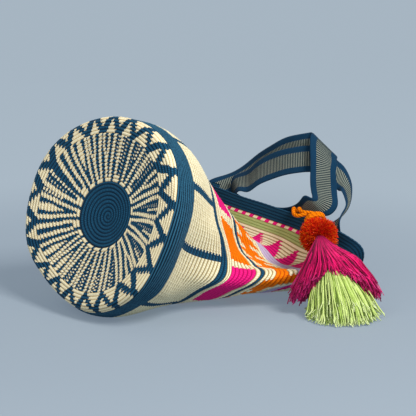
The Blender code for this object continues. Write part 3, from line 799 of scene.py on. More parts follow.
def build_wall():
    along, rows = wall_along(PER_ROW)
    grid = at_places(along)
    n = outward(grid)
    u = np.arange(COUNT)[None] / PER_STITCH
    rr = rows[:, None]
    high = ridge(rr, 0.7)
    rng = np.random.default_rng(5)
    wobble = rng.normal(0, 0.09, grid.shape[:2]) * high
    soft = np.array([RIDGE.get(ROW_NAMES[min(int(r + 1e-6), len(ROW_NAMES) - 1)][0], 1.0)
                     for r in rows])[:, None]
    soft[1:-1] = 0.25 * soft[:-2] + 0.5 * soft[1:-1] + 0.25 * soft[2:]
    plain = np.where(rr < 9, 0.12, 0.42)
    lift = (1.25 * high - 0.6 + plain * (stitches(u, rr) - 0.5) * high + wobble) * soft
    p = grid + n * lift[..., None]
    p[..., 2] = np.maximum(p[..., 2], 0.05)
    # the rim's rounded edge, over to the inside
    tangent = grid[-1] - grid[-2]
    tangent /= np.linalg.norm(tangent, axis=1)[:, None]
    middle = grid[-1] - n[-1] * WALL_THICKNESS / 2
    edge = []
    for a in (35, 90, 145, 180):
        a = math.radians(a)
        edge.append(middle + (WALL_THICKNESS / 2 + 0.35) * (
            math.cos(a) * n[-1] + math.sin(a) * tangent)
            + 0.35 * (ridge(u[0], 0.7) - 0.5)[:, None] * tangent)
    edge = np.array(edge)
    edge[..., 2] = np.maximum(edge[..., 2], 0.3)
    rings = np.concatenate([p, edge])
    v = np.concatenate([rows, rows[-1] + np.array([0.2, 0.5, 0.8, 1.0])])
    colours = []
    for i in range(len(rings) - 1):
        if i < len(along) - 1:
            name, r = ROW_NAMES[int(rows[i] + 1e-6)]
            # band and rim rows take the copies of the blue yarn with their own painted shade and painted
            # highlight
            colours.append([BAND] * COUNT if name == "band" else [RIM] * COUNT if name == "rim" else
                           wall_row_colours(name, r, (rows[i] % 1) + 0.5 / PER_ROW))
        else:
            colours.append([RIM] * COUNT)
    make("bag_wall", rings.reshape(-1, 3), ring_faces(len(rings), COUNT, flip=True), YARNS,
         np.array(colours).ravel(), ring_uvs(v, COUNT, STITCHES, flip=True))
    return bpy.data.objects["bag_wall"]


def build_base():
    per = 4
    rows = np.arange(0, BASE_ROWS * per + 1) / per
    grid = np.array([base_points(max(r, 0.03), per) for r in rows])
    n = outward(grid)
    n[:3] = BASE_OUT
    u = np.arange(COUNT)[None] / COUNT
    kk = rows[:, None]
    total = np.where(kk < 22, np.maximum(6, np.round(5.7 * np.ceil(kk - 1e-6))), 132.0)
    spiral = (kk < 9).astype(float)
    phase = kk - u * spiral
    high = ridge(phase, 0.7)
    stitch = stitches(u * total, kk)
    fade = np.clip(kk / 2.0, 0.1, 1)
    rng = np.random.default_rng(6)
    wobble = rng.normal(0, 0.08, grid.shape[:2]) * high
    lift = (0.95 * high - 0.5 + 0.30 * (stitch - 0.5) * high + wobble) * fade
    lift[-1] = -0.55
    p = grid + n * lift[..., None]
    p[..., 2] = np.maximum(p[..., 2], 0.05)
    colours, uv = [], []
    phi = (np.arange(COUNT) + 0.5) / COUNT * 2 * math.pi
    uu = np.arange(COUNT + 1) / COUNT
    for i in range(len(rows) - 1):
        r = int(rows[i] + 1e-6)
        part = rows[i] - r + 0.5 / per
        colours.append([base_colour(r, part, t) for t in phi])
        around = max(6, round(5.7 * (r + 1))) if r < 22 else 132
        shift = uu[:-1] if r < 9 else 0 * uu[:-1]
        shift1 = uu[1:] if r < 9 else shift
        quad = np.stack([np.stack([uu[:-1] * around, rows[i] - shift], -1),
                         np.stack([uu[:-1] * around, rows[i + 1] - shift], -1),
                         np.stack([uu[1:] * around, rows[i + 1] - shift1], -1),
                         np.stack([uu[1:] * around, rows[i] - shift1], -1)], 1)[:, ::-1]
        uv.append(quad)
    make("bag_base", p.reshape(-1, 3), ring_faces(len(p), COUNT, flip=True), BASE_YARNS,
         np.array(colours).ravel(), np.concatenate(uv).reshape(-1, 2))
    return bpy.data.objects["bag_base"]


def build_inside():
    """The wrong side of the crochet, seen through the mouth."""
    along, rows = wall_along(2)
    base_rows = np.arange(1, BASE_ROWS * 2) / 2.0
    grid = np.concatenate([[base_points(r, 2) for r in base_rows], at_places(along)])
    n = outward(grid)
    number = np.concatenate([base_rows, BASE_ROWS + rows])
    u = np.arange(COUNT)[None] / PER_STITCH
    high = ridge(number[:, None], 0.8)
    last = BASE_ROWS + rows[-1]
    fade = (np.clip((number[:, None] - 1) / 3.0, 0.0, 1)
            * np.clip((last - number[:, None]) / 0.6, 0, 1))
    inset = WALL_THICKNESS + (0.5 * high - 0.3 + 0.25 * stitches(u, number[:, None]) * high) * fade
    p = grid - n * inset[..., None]
    p[..., 2] = np.maximum(p[..., 2], 0.8)
    centre = p[0].mean(0)
    rings = np.concatenate([np.tile(centre, (1, COUNT, 1)) + (p[0] - centre) * 0.02, p])
    nr = np.concatenate([[0.0], number])
    phi = (np.arange(COUNT) + 0.5) / COUNT * 2 * math.pi
    colours = []
    for i in range(len(rings) - 1):
        if nr[i] < BASE_ROWS:
            r = int(nr[i] + 1e-6)
            colours.append([base_colour(r, nr[i] - r + 0.25, t) for t in phi])
        else:
            name, r = ROW_NAMES[min(int(nr[i] - BASE_ROWS + 1e-6), len(ROW_NAMES) - 1)]
            colours.append(wall_row_colours(name, r, 0.5))
    make("bag_inside", rings.reshape(-1, 3), ring_faces(len(rings), COUNT), YARNS,
         np.array(colours).ravel(), ring_uvs(nr, COUNT, STITCHES))
    return bpy.data.objects["bag_inside"]


# the fan of the tassel opens along SIDE, and FRONT is the way it faces
FAN = math.radians(44.0)
SIDE = np.array([math.cos(FAN), math.sin(FAN), 0.0])
FRONT = np.array([math.sin(FAN), -math.cos(FAN), 0.0])


# ------------------------------------------------------------ frames on the wall
def rim_frame(along, count):
    g = wall_grid(np.array([along - 4.0, along, along + 0.0 if along >= WALL_LENGTH
                            else along + 4.0]), count)
    around = np.roll(g[1], -1, 0) - np.roll(g[1], 1, 0)
    length = g[2] - g[0]
    inward = np.cross(length, around)
    inward /= np.linalg.norm(inward, axis=1)[:, None]
    middle = g[1].mean(0)
    if np.mean(((middle - g[1]) * inward).sum(1)) < 0:
        inward = -inward
    return g[1], inward


def cord_path(samples):
    count = 240
    wall, inward = rim_frame(WALL_LENGTH - CORD_DEPTH, count)
    off = WALL_THICKNESS + CORD_CLEAR + CORD_DIAMETER / 2
    ring = wall + inward * off
    gap = int(np.argmin(np.linalg.norm(wall - np.array([118, 262, 80]), axis=1)))
    order = [(gap + 2 + i) % count for i in range(count - 4)]
    loop = ring[order][::6]
    near = np.array([(119, 270, 93), (117, 269, 104), (118, 263, 112),
                     (124, 255, 114), (131, 250, 112.5), (138, 250, 113.5),
                     (146, 252.5, 113.3)], float)
    far = np.array([(111, 269, 93), (109, 268, 104), (111, 260.5, 112),
                    (118, 251, 112.5), (128, 243, 108.5), (135, 243, 110),
                    (142, 246, 112.5)], float)
    route = np.vstack([far[::-1], loop, near])
    t = lengths(route)
    coarse = open_spline(t, route, np.linspace(0, t[-1], 80))
    if samples == 80:
        return coarse
    t = lengths(coarse)
    return open_spline(t, coarse, np.linspace(0, t[-1], samples))


def sweep_frames(path):
    """Tangent and two normals along a path, without sudden turns."""
    tan = np.gradient(path, axis=0)
    tan /= np.linalg.norm(tan, axis=1)[:, None]
    n = np.zeros_like(path)
    v = np.cross(tan[0], [0.0, 0.0, 1.0])
    if np.linalg.norm(v) < 0.1:
        v = np.cross(tan[0], [1.0, 0.0, 0.0])
    n[0] = v / np.linalg.norm(v)
    for i in range(1, len(path)):
        v = n[i - 1] - tan[i] * (n[i - 1] @ tan[i])
        n[i] = v / np.linalg.norm(v)
    return tan, n, np.cross(tan, n)


def twisted(name, path, diameter, pitch, mat, sides=18, plies=3):
    """Cord of several plies laid round each other: a lobed tube that turns."""
    tan, n1, n2 = sweep_frames(path)
    s = lengths(path)
    a = 2 * math.pi * np.arange(sides) / sides
    turn = 2 * math.pi * s / pitch
    lobe = np.abs(np.cos((a[None] - turn[:, None] / 1.0) * plies / 2.0)) ** 0.8
    r = diameter / 2 * (0.80 + 0.20 * lobe)
    ring = (path[:, None] + (r * np.cos(a)[None])[..., None] * n1[:, None]
            + (r * np.sin(a)[None])[..., None] * n2[:, None])
    closed = [np.tile(path[0], (1, sides, 1)) + (ring[:1] - path[0]) * 0.05 - tan[0] * 0.3,
              ring, np.tile(path[-1], (1, sides, 1)) + (ring[-1:] - path[-1]) * 0.05 + tan[-1] * 0.3]
    rings = np.concatenate(closed)
    v = np.concatenate([[s[0]], s, [s[-1]]])
    return make(name, rings.reshape(-1, 3), ring_faces(len(rings), sides, flip=True),
                [mat], None, ring_uvs(v, sides, plies, flip=True))


def cord_material(name, colour, dark, highlight, pitch, plies=3):
    """UV: u counts plies round the cord, v is mm along it."""
    n = Nodes(name)
    u, v = n.uv()
    turn = n.math("SUBTRACT", u, n.math("MULTIPLY", v, plies / pitch))
    ply = n.math("ABSOLUTE", n.math("COSINE", n.math("MULTIPLY", turn, math.pi)))
    strand = n.math("SINE", n.math("MULTIPLY", n.math(
        "ADD", n.math("MULTIPLY", u, 4.0), n.math("MULTIPLY", v, 0.9)), 2 * math.pi))
    fine = n.noise(1100.0, 2.0)
    blotch = n.noise(90.0, 3.0)
    # painted shade: the grooves between the plies are mixed towards the darker colour; painted highlight: the
    # raised fibres are mixed towards the lighter one
    col = n.mix(n.range(ply, 0.05, 0.65), dark, colour)
    col = n.mix(n.range(strand, 0.2, 1.0, 0.0, 0.35), col, highlight)
    col = n.mix(n.range(blotch, 0.4, 0.75, 0.0, 0.25), col, dark)
    h = n.math("ADD", n.math("MULTIPLY", ply, 0.6), n.math("MULTIPLY", strand, 0.12))
    h = n.math("ADD", h, n.math("MULTIPLY", fine, 0.3))
    return n.surface(col, 0.8, n.bump(h, 0.6, 0.0007), sheen=0.0, spec=0.08)


# orange cord: own colour, painted shade between the plies, painted highlight on the fibres
ORANGE_CORD = cord_material("orange_cord_twist", lin(238, 124, 0), lin(140, 46, 0),
                            lin(255, 158, 0), 13.0)


def build_drawstring():
    fine = cord_path(1100)
    cord = twisted("drawstring_cord", fine, CORD_DIAMETER - 0.1, 13.0, ORANGE_CORD)
    path = (cord_path(400) - ORIGIN) * MM
    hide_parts("drawstring")
    return cord


def build_wrap():
    """The same cord, wound round its own ends above the pompom."""
    axis = (WRAP_CENTRE - POMPOM_CENTRE)
    axis /= np.linalg.norm(axis)
    side = np.cross(axis, [0.0, 0.0, 1.0])
    side /= np.linalg.norm(side)
    other = np.cross(axis, side)
    t = np.linspace(0, 1, 260)
    turns = 2.3
    a = 2 * math.pi * turns * t + 0.8
    r = 10.8 + 0.4 * np.sin(a * 0.7)
    z = -6.4 + 6.4 * t + 0.3 * np.sin(a * 1.3)
    r = np.where(t > 0.9, r - 42 * (t - 0.9), r)
    path = (WRAP_CENTRE + r[:, None] * (np.cos(a)[:, None] * side + np.sin(a)[:, None] * other)
            + z[:, None] * axis + 2.0 * FRONT)
    coil = twisted("cord_wrap_coil", path, 4.6, 11.0, ORANGE_CORD, sides=14)
    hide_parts("cord_wrap")
    # filling strands in the middle of the coil
    t = np.linspace(-1, 1, 60)
    for i, (du, dv) in enumerate(((4.6, 0.6), (-4.6, 1.4), (-0.2, -4.4), (0.4, 4.6), (0.2, 0.2))):
        bend = 1.2 * np.sin(3 * t + i)
        path = (WRAP_CENTRE + ((du + bend)[:, None]) * side + (dv * (1 + 0 * t))[:, None] * other
                + (t * 4.6)[:, None] * axis)
        twisted("cord_wrap_core_%d" % (i + 1), path, 4.2, 10.0, ORANGE_CORD, sides=12)
    return coil


# ------------------------------------------------------------ threads
def tubes(name, paths, radii, sides, mats, indices, tip=0.8):
    """Many thin threads in one mesh. paths is (threads, points, 3)."""
    paths = np.asarray(paths, float)
    m, k, _ = paths.shape
    tan = np.gradient(paths, axis=1)
    tan /= np.maximum(np.linalg.norm(tan, axis=2), 1e-9)[..., None]
    ref = np.cross(tan[:, 0], np.array([0.3, 0.2, 0.93]))
    ref /= np.maximum(np.linalg.norm(ref, axis=1), 1e-9)[:, None]
    n1 = ref[:, None] - tan * (tan * ref[:, None]).sum(2)[..., None]
    n1 /= np.maximum(np.linalg.norm(n1, axis=2), 1e-9)[..., None]
    n2 = np.cross(tan, n1)
    a = 2 * math.pi * np.arange(sides) / sides
    r = np.asarray(radii, float).reshape(m, 1, 1) * np.ones((1, k, 1))
    r[:, -1] *= tip
    ring = (paths[:, :, None] + (r * np.cos(a)[None, None])[..., None] * n1[:, :, None]
            + (r * np.sin(a)[None, None])[..., None] * n2[:, :, None])
    verts = ring.reshape(-1, 3)
    base = (np.arange(m) * k * sides)[:, None, None]
    i = (np.arange(k - 1) * sides)[None, :, None]
    j = np.arange(sides)[None, None]
    j1 = (j + 1) % sides
    f = np.stack([base + i + j, base + i + j1, base + i + sides + j1, base + i + sides + j], -1)
    u0 = np.broadcast_to(j / sides, f.shape[:3])
    u1 = np.broadcast_to((j + 1) / sides, f.shape[:3])
    v0 = np.broadcast_to(np.arange(k - 1)[None, :, None] / (k - 1), f.shape[:3])
    v1 = np.broadcast_to((np.arange(k - 1)[None, :, None] + 1) / (k - 1), f.shape[:3])
    uv = np.stack([np.stack([u0, v0], -1), np.stack([u1, v0], -1),
                   np.stack([u1, v1], -1), np.stack([u0, v1], -1)], 3)
    idx = np.broadcast_to(np.asarray(indices)[:, None, None], f.shape[:3])
    faces, uvs, ids = f.reshape(-1, 4), uv.reshape(-1, 4, 2), idx.reshape(-1)
    if sides == 4:
        caps = (base[:, 0] + (k - 1) * sides + np.arange(sides)[None])
        faces = np.vstack([faces, caps])
        uvs = np.vstack([uvs, np.ones((m, 4, 2))])
        ids = np.concatenate([ids, np.asarray(indices)])
    return make(name, verts, faces, mats, ids, uvs.reshape(-1, 2))


def thread_material(name, root, colour, tip, rough=0.6, sheen=0.03):
    """UV: v runs from the root of a thread to its tip."""
    n = Nodes(name)
    u, v = n.uv()
    blotch = n.noise(120.0, 3.0)
    fine = n.noise(1400.0, 2.0)
    # painted shade: each thread darkens towards its root, deep inside the tassel or pompom; painted highlight:
    # it lightens towards its tip
    col = n.mix(n.range(v, 0.0, 0.55), root, colour)
    col = n.mix(n.range(v, 0.82, 1.0, 0.0, 0.8), col, tip)
    col = n.mix(n.range(blotch, 0.35, 0.75, 0.0, 0.3), col, root)
    return n.surface(col, rough, n.bump(fine, 0.4, 0.0003), sheen=sheen, spec=0.2)


def fan_points(rings, phi, inner, t):
    """Points down the fan at angle phi, inner from 0 middle to 1 outside."""
    rings_t = np.arange(len(rings), dtype=float)
    side, front, hs, hf = (np.array([r[i] for r in rings], float) for i in range(4))
    z = np.array([r[4] for r in rings], float)
    ca, sa = np.cos(phi), np.sin(phi)
    height = (np.where(ca[:, None] > 0, z[:, 2], z[:, 0]) * ca[:, None] ** 2
              + np.where(sa[:, None] > 0, z[:, 1], z[:, 3]) * sa[:, None] ** 2)
    a = side + hs * ca[:, None] * inner[:, None]
    b = front + hf * sa[:, None] * inner[:, None]
    pts = a[..., None] * SIDE + b[..., None] * FRONT
    pts[..., 2] = height
    flat = pts.transpose(1, 0, 2)
    return open_spline(rings_t, flat, t * (len(rings) - 1)).transpose(1, 0, 2)


def strands(rings, count, points, rng, clumps, stray, wave, end_jitter, hook, short):
    """Threads down a fan. They hang in loose clumps, and some stray across."""
    clump = rng.integers(0, clumps, count)
    phi_c = 2 * math.pi * (np.arange(clumps) + rng.uniform(-0.4, 0.4, clumps)) / clumps
    in_c = rng.uniform(0.62, 1.0, clumps) ** 0.6
    phi = phi_c[clump] + rng.normal(0, 2.2 / clumps, count)
    inner = np.clip(in_c[clump] + rng.normal(0, 0.10, count), 0.35, 1.0)
    t = np.linspace(0, 1, points)
    base = fan_points(rings, phi, inner, t)
    # every clump leans its own way
    lean = np.clip(rng.normal(0, stray, (clumps, 2)), -1.4 * stray, 1.4 * stray)[clump]
    cross = rng.normal(0, 0.55 * stray, (count, 2)) + lean
    wild = rng.uniform(0, 1, count) < 0.16
    cross[wild] *= 2.0
    grow = (t ** 1.1)[None]
    amp = rng.uniform(0.3, 1.0, (count, 1)) * wave * (t ** 1.1)[None]
    ph = rng.uniform(0, 2 * math.pi, (count, 1))
    fr = rng.uniform(1.0, 2.6, (count, 1))
    w1 = amp * np.sin(2 * math.pi * fr * t[None] + ph) + cross[:, :1] * grow
    w2 = amp * np.sin(2 * math.pi * fr * 1.13 * t[None] + ph * 1.7) + 0.7 * cross[:, 1:] * grow
    p = base + w1[..., None] * SIDE + 0.8 * w2[..., None] * FRONT
    # some were cut shorter than the rest
    at = t[None] * (1 - short * rng.uniform(0, 1, (count, 1)) ** 1.7) * (points - 1)
    k = np.minimum(at.astype(int), points - 2)
    f = (at - k)[..., None]
    i = np.arange(count)[:, None]
    p = p[i, k] * (1 - f) + p[i, k + 1] * f
    # uneven cut ends that turn
    d = p[:, -1] - p[:, -2]
    d /= np.maximum(np.linalg.norm(d, axis=1), 1e-6)[:, None]
    extra = rng.normal(0, end_jitter, count)
    late = np.clip((t - 0.8) / 0.2, 0, 1)
    p += (d * extra[:, None])[:, None] * late[None, :, None]
    turn = rng.normal(0, hook, (count, 3)) * np.array([1.0, 1.0, 0.6])
    turn += (np.cos(phi)[:, None] * SIDE + np.sin(phi)[:, None] * FRONT) * (
        np.abs(rng.normal(0, hook, count)) * np.clip(inner, 0, 1))[:, None]
    p += turn[:, None] * (late ** 2)[None, :, None]
    return p, phi, inner


def build_pompom():
    rng = np.random.default_rng(11)
    count = 5200
    i = np.arange(count) + 0.5
    z = 1 - 2 * i / count
    a = math.pi * (1 + 5 ** 0.5) * i
    r = np.sqrt(1 - z * z)
    d = np.stack([r * np.cos(a), r * np.sin(a), z], 1) + rng.normal(0, 0.045, (count, 3))
    d /= np.linalg.norm(d, axis=1)[:, None]
    reach = POMPOM_RADIUS * (0.985 + rng.normal(0, 0.045, count)) + 0.2
    reach *= 1 + 0.035 * np.sin(5 * d[:, 0] + 1) * np.sin(4 * d[:, 2] + 2)
    axis = (WRAP_CENTRE - POMPOM_CENTRE) / np.linalg.norm(WRAP_CENTRE - POMPOM_CENTRE)
    reach *= 1 - 0.20 * np.clip((d @ axis - 0.72) / 0.2, 0, 1)
    t = np.array([0.55, 0.8, 1.0])
    bend = rng.normal(0, 0.9, (count, 3))
    p = (POMPOM_CENTRE + d[:, None] * (reach[:, None] * t[None])[..., None]
         + bend[:, None] * np.array([0, 0.5, 1.4])[None, :, None])
    # pompom yarns: the root colour is painted shade inside the pompom, the tip colour a painted highlight
    mats = [thread_material("pompom_red", lin(60, 0, 0), lin(222, 22, 0), lin(252, 60, 0), 0.9, 0.0),
            thread_material("pompom_orange", lin(80, 4, 0), lin(244, 80, 0), lin(255, 128, 4), 0.9, 0.0)]
    pick = (rng.uniform(0, 1, count) < 0.30).astype(int)
    tuft = tubes("pompom_tuft", p, rng.uniform(0.42, 0.62, count), 3, mats, pick, tip=0.7)
    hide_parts("pompom")
    # the dense middle
    k, m = 24, 36
    th = np.pi * (np.arange(k + 1)) / k
    ph = 2 * np.pi * np.arange(m) / m
    rad = POMPOM_RADIUS * 0.86
    core = np.stack([np.sin(th)[:, None] * np.cos(ph)[None], np.sin(th)[:, None] * np.sin(ph)[None],
                     np.cos(th)[:, None] * np.ones((1, m))], -1)
    core[0] = core[0] * 0.01 + np.array([0, 0, 1]) * 0.99
    core[-1] = core[-1] * 0.01 - np.array([0, 0, 1]) * 0.99
    bumps = 1 + 0.03 * np.sin(9 * core[..., :1] + 3) * np.sin(8 * core[..., 1:2]) * np.sin(7 * core[..., 2:])
    verts = POMPOM_CENTRE + core * rad * bumps
    # the core's v of 0.3 mixes it part way to the root colour: painted shade in the middle of the pompom
    uv = ring_uvs(np.full(k + 1, 0.3), m, 1)
    make("pompom_core", verts.reshape(-1, 3), ring_faces(k + 1, m), [mats[0]], None, uv)


def build_skirts():
    rng = np.random.default_rng(21)
    mag = [thread_material("magenta_a", lin(150, 0, 66), lin(230, 12, 108), lin(246, 60, 146)),
           thread_material("magenta_b", lin(100, 0, 44), lin(180, 2, 82), lin(214, 24, 114)),
           thread_material("magenta_c_shade_and_tone", lin(50, 0, 22), lin(110, 0, 50), lin(168, 8, 84))]
    count = 2100
    p, phi, inner = strands(MAGENTA_FAN, count, 12, rng, 170, 2.2, 2.2, 2.2, 1.6, 0.16)
    # threads deep inside the skirt all take the darkest copy: painted shade; the others take the copies at
    # random
    pick = np.where(inner < 0.74, 2, rng.choice([0, 1, 2], count, p=[0.45, 0.38, 0.17]))
    upper = tubes("tassel_upper_threads", p, rng.uniform(0.58, 0.8, count), 4, mag,
                  pick)
    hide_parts("tassel_upper_skirt")
    lime = [thread_material("lime_a", lin(160, 178, 88), lin(206, 224, 138), lin(236, 246, 192)),
            thread_material("lime_b", lin(128, 150, 58), lin(176, 202, 100), lin(226, 240, 172)),
            thread_material("lime_c_shade_and_tone", lin(58, 78, 24), lin(96, 120, 44), lin(160, 184, 98))]
    count = 2150
    p, phi, inner = strands(LIME_FAN, count, 12, rng, 170, 2.3, 2.2, 1.6, 1.7, 0.34)
    p[..., 2] = np.maximum(p[..., 2], 0.9)
    # threads deep inside the skirt all take the darkest copy: painted shade; the others take the copies at
    # random
    pick = np.where(inner < 0.74, 2, rng.choice([0, 1, 2], count, p=[0.5, 0.38, 0.12]))
    lower = tubes("tassel_lower_threads", p, rng.uniform(0.58, 0.8, count), 4, lime,
                  pick)
    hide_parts("tassel_lower_skirt")


# ------------------------------------------------------------ the strap
def strap_lines(steps):
    ends = []
    for a, b, keep in STRAP:
        a, b = np.array(a, float), np.array(b, float)
        if not keep:
            mid, half = (a + b) / 2, (b - a) / np.linalg.norm(b - a)
            a, b = mid - half * STRAP_WIDTH / 2, mid + half * STRAP_WIDTH / 2
        ends.append((a, b))
    ends = np.array(ends)
    t = lengths(ends.mean(1))
    return open_spline(t, ends, np.linspace(0, t[-1], steps))


def webbing(name, colour, dark, highlight):
    """UV: u is mm across the band, v is mm along it."""
    n = Nodes(name)
    u, v = n.uv()
    rib = n.math("ABSOLUTE", n.math("SINE", n.math("MULTIPLY", v, math.pi / 1.12)))
    end = n.math("ABSOLUTE", n.math("SINE", n.math("MULTIPLY", u, math.pi / 0.9)))
    fine = n.noise(1300.0, 2.0)
    blotch = n.noise(40.0, 3.0)
    h = n.math("ADD", n.math("MULTIPLY", rib, 0.5), n.math("MULTIPLY", end, 0.35))
    h = n.math("ADD", h, n.math("MULTIPLY", fine, 0.2))
    # painted shade in the low parts of the weave, painted highlight on its raised ribs
    col = n.mix(n.range(h, 0.15, 0.75), dark, colour)
    col = n.mix(n.range(h, 0.8, 1.1, 0.0, 0.5), col, highlight)
    col = n.mix(n.range(blotch, 0.35, 0.75, 0.0, 0.18), col, dark)
    return n.surface(col, 0.82, n.bump(h, 0.6, 0.0006), sheen=0.03, spec=0.12)


def build_strap():
    steps = 620
    lines = strap_lines(steps)
    mid = lines.mean(1)
    s = lengths(mid)
    step = 1.12
    s_new = np.arange(0, s[-1], step) + np.where(np.arange(len(np.arange(0, s[-1], step))) % 2 == 0, 0.0, 0.22)
    ends = open_spline(s, lines, s_new)
    a, b = ends[:, 0], ends[:, 1]
    across = 22
    w = np.linspace(0, 1, across + 1)
    grid = a[:, None] + (b - a)[:, None] * w[None, :, None]
    du = np.gradient(grid, axis=1)
    dv = np.gradient(grid, axis=0)
    n = np.cross(du, dv)
    n /= np.maximum(np.linalg.norm(n, axis=2), 1e-9)[..., None]
    half = STRAP_THICKNESS / 2
    # thinner towards the selvedges, raised weft in every second step
    mm_w = w * STRAP_WIDTH
    border = (mm_w < 6.8) | (mm_w > STRAP_WIDTH - 6.8)
    lift = np.where(border[None], 0.12, 0.0) + np.where(np.arange(len(s_new))[:, None] % 2 == 0, 0.14, -0.10)
    lift = lift * np.where((w < 0.02) | (w > 0.98), 0.0, 1.0)[None]
    thick = np.where((w < 0.02) | (w > 0.98), half * 0.45, half * 0.85)[None]
    top = grid + n * (thick + lift)[..., None]
    low = grid - n * (thick + lift)[..., None]
    ring = np.concatenate([top, low[:, ::-1]], 1)
    count = ring.shape[1]
    colours = []
    cols = np.arange(count)
    mid_w = []
    for j in cols:
        if j < across:
            mid_w.append((w[j] + w[j + 1]) / 2)
        elif j == across or j == count - 1:
            mid_w.append(1.0 if j == across else 0.0)
        else:
            k = count - 1 - j
            mid_w.append((w[k] + w[k - 1]) / 2)
    mid_w = np.array(mid_w) * STRAP_WIDTH
    is_border = (mid_w < 6.8) | (mid_w > STRAP_WIDTH - 6.8)
    for i in range(len(s_new) - 1):
        stripe = 2 if i % 2 == 0 else 1
        colours.append(np.where(is_border, 0, stripe))
    u_pos = np.concatenate([mm_w, mm_w[::-1]])
    u_next = np.roll(u_pos, -1)
    rings = len(s_new)
    u0 = np.broadcast_to(u_pos[None], (rings - 1, count))
    u1 = np.broadcast_to(u_next[None], (rings - 1, count))
    v0 = np.broadcast_to(s_new[:-1][:, None], (rings - 1, count))
    v1 = np.broadcast_to(s_new[1:][:, None], (rings - 1, count))
    uv = np.stack([np.stack([u0, v0], -1), np.stack([u0, v1], -1),
                   np.stack([u1, v1], -1), np.stack([u1, v0], -1)], 2)
    mats = [webbing("band_blue", lin(12, 56, 86), lin(3, 24, 40), lin(26, 80, 112)),
            webbing("band_pale", lin(146, 152, 140), lin(82, 90, 84), lin(182, 186, 170)),
            webbing("band_dark", lin(20, 44, 54), lin(8, 22, 30), lin(40, 66, 76))]
    faces = ring_faces(rings, count)
    # close the two ends
    obj = make("strap_band", ring.reshape(-1, 3), faces, mats, np.array(colours).ravel(),
               uv.reshape(-1, 2))
    import bmesh
    bm = bmesh.new()
    bm.from_mesh(obj.data)
    bm.verts.ensure_lookup_table()
    layer = bm.loops.layers.uv.active
    for start in (0, (rings - 1) * count):
        for j in range(across):
            q = [bm.verts[start + j], bm.verts[start + j + 1],
                 bm.verts[start + count - 2 - j], bm.verts[start + count - 1 - j]]
            f = bm.faces.new(q)
            f.material_index = 0
    bmesh.ops.recalc_face_normals(bm, faces=bm.faces)
    bm.to_mesh(obj.data)
    bm.free()
    obj.data.shade_smooth()
    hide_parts("strap")
    return obj


def build_tab(name, column_point, node):
    """Crocheted tab sewn up the inside of the rim."""
    count = 240
    levels = [WALL_LENGTH - 13.0, WALL_LENGTH - 6.5, WALL_LENGTH - 0.1]
    frames = [rim_frame(s, count) for s in levels]
    at = int(np.argmin(np.linalg.norm(frames[-1][0] - np.array(column_point), axis=1)))
    cols = [(at + i) % count for i in (-2, -1, 0, 1, 2)]
    off = WALL_THICKNESS + 0.5
    rows = [w[cols] + d[cols] * off for w, d in frames]
    rise = rows[-1] - rows[-2]
    rise /= np.linalg.norm(rise, axis=1)[:, None]
    rows.append(rows[-1] + rise * 6.0)
    coarse = np.array(rows)
    inward = frames[-1][1][cols].mean(0)
    k, m = 25, 21
    t = np.linspace(0, 3, k)
    g = open_spline(np.arange(4.0), coarse, t)
    g = open_spline(np.arange(5.0), g.transpose(1, 0, 2), np.linspace(0, 4, m)).transpose(1, 0, 2)
    n = np.broadcast_to(inward / np.linalg.norm(inward), g.shape)
    row = np.linspace(0, 4, k)[:, None]
    col = np.linspace(0, 2.5, m)[None]
    lift = 0.7 * ridge(row) * (0.6 + 0.4 * ridge(col, 0.6))
    edge = np.minimum(1, 6 * np.minimum(np.minimum(row, 4 - row) / 4, np.minimum(col, 2.5 - col) / 2.5))
    front = g + n * (0.4 + (0.9 + lift) * edge)[..., None]
    back = g + n * (0.2 - 0.0 * lift)[..., None]
    ring = np.concatenate([front, back[:, ::-1]], 1)
    c2 = ring.shape[1]
    uv = ring_uvs(np.linspace(0, 4, k), c2, 5.0)
    obj = make(name, ring.reshape(-1, 3), ring_faces(k, c2), [YARNS[BLUE]], None, uv)
    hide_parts(node)
    return obj


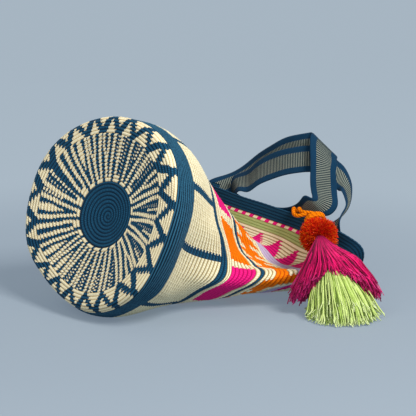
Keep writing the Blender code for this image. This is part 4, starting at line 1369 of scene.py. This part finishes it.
# ------------------------------------------------------------ the room
def build_room():
    n = Nodes("studio_floor")
    # the paper glows: weakly near the bag, which lightens the shadows there, and more away from it, as a lit
    # backdrop does
    where = n.node("ShaderNodeTexCoord").outputs["Object"]
    far = n.node("ShaderNodeVectorMath", operation="LENGTH")
    n.put(far.inputs[0], where)
    away = n.range(far.outputs["Value"], 0.30, 0.85)
    n.put(n.bsdf.inputs["Base Color"], n.mix(away, lin(*FLOOR_RGB), lin(60, 65, 69)))
    n.put(n.bsdf.inputs["Emission Color"], n.mix(away, lin(106, 119, 132), lin(*GLOW_RGB)))
    n.bsdf.inputs["Emission Strength"].default_value = 1.0
    n.bsdf.inputs["Roughness"].default_value = 0.9
    n.bsdf.inputs["Specular IOR Level"].default_value = 0.1
    mat = n.mat
    # floor that curves up behind the bag
    k = 40
    prof = [(-9.0, 0.0), (-3.0, 0.0)]
    prof += [(2.2 + 1.2 * math.sin(a), 1.2 - 1.2 * math.cos(a)) for a in np.linspace(0, math.pi / 2, k)]
    prof += [(3.4, 4.5)]
    verts, faces = [], []
    side, depth = RIGHT[:2], -BACK[:2] / np.linalg.norm(BACK[:2])
    for along, z in prof:
        for s in (-8.0, 8.0):
            p = along * depth + s * side
            verts.append((p[0] + 0.05, p[1], z - 0.0004))
    for i in range(len(prof) - 1):
        faces.append((2 * i, 2 * i + 1, 2 * i + 3, 2 * i + 2))
    mesh = bpy.data.meshes.new("studio_floor")
    mesh.from_pydata(verts, [], faces)
    mesh.materials.append(mat)
    mesh.shade_smooth()
    obj = bpy.data.objects.new("studio_floor", mesh)
    bpy.context.scene.collection.objects.link(obj)

    def area(name, where, size, energy, colour):
        data = bpy.data.lights.new(name, "AREA")
        data.shape = "RECTANGLE"
        data.size, data.size_y = size
        data.energy = energy
        data.color = colour
        lamp = bpy.data.objects.new(name, data)
        bpy.context.scene.collection.objects.link(lamp)
        lamp.location = where
        aim = Vector((0.05, 0.05, 0.08)) - Vector(where)
        lamp.rotation_euler = aim.to_track_quat("-Z", "Y").to_euler()
        return lamp

    def at(right, back, up):
        p = right * RIGHT + back * np.array([BACK[0], BACK[1], 0]) / np.linalg.norm(BACK[:2])
        return (p[0] + 0.05, p[1] + 0.05, up)

    area("key", at(1.35, 1.85, 2.35), (1.1, 1.1), KEY, (1.0, 0.985, 0.955))
    area("fill", at(-1.7, 1.8, 2.0), (2.2, 2.2), FILL, (0.97, 0.985, 1.0))
    world = bpy.data.worlds.new("studio")
    bpy.context.scene.world = world
    world.use_nodes = True
    bg = world.node_tree.nodes["Background"]
    bg.inputs["Color"].default_value = (0.93, 0.96, 1.0, 1.0)
    bg.inputs["Strength"].default_value = WORLD


KEY, FILL, WORLD = 117.0, 25.0, 0.29
FLOOR_RGB, GLOW_RGB = (117, 125, 132), (160, 174, 186)

build_drawstring()
build_wrap()
wall = build_wall()
base = build_base()
inside = build_inside()
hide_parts("bag_body")
build_strap()
build_tab("tab_far", (-12, 246, 124), "strap_tab_far")
build_pompom()
build_skirts()
build_room()
bpy.context.scene.view_settings.view_transform = "Standard"
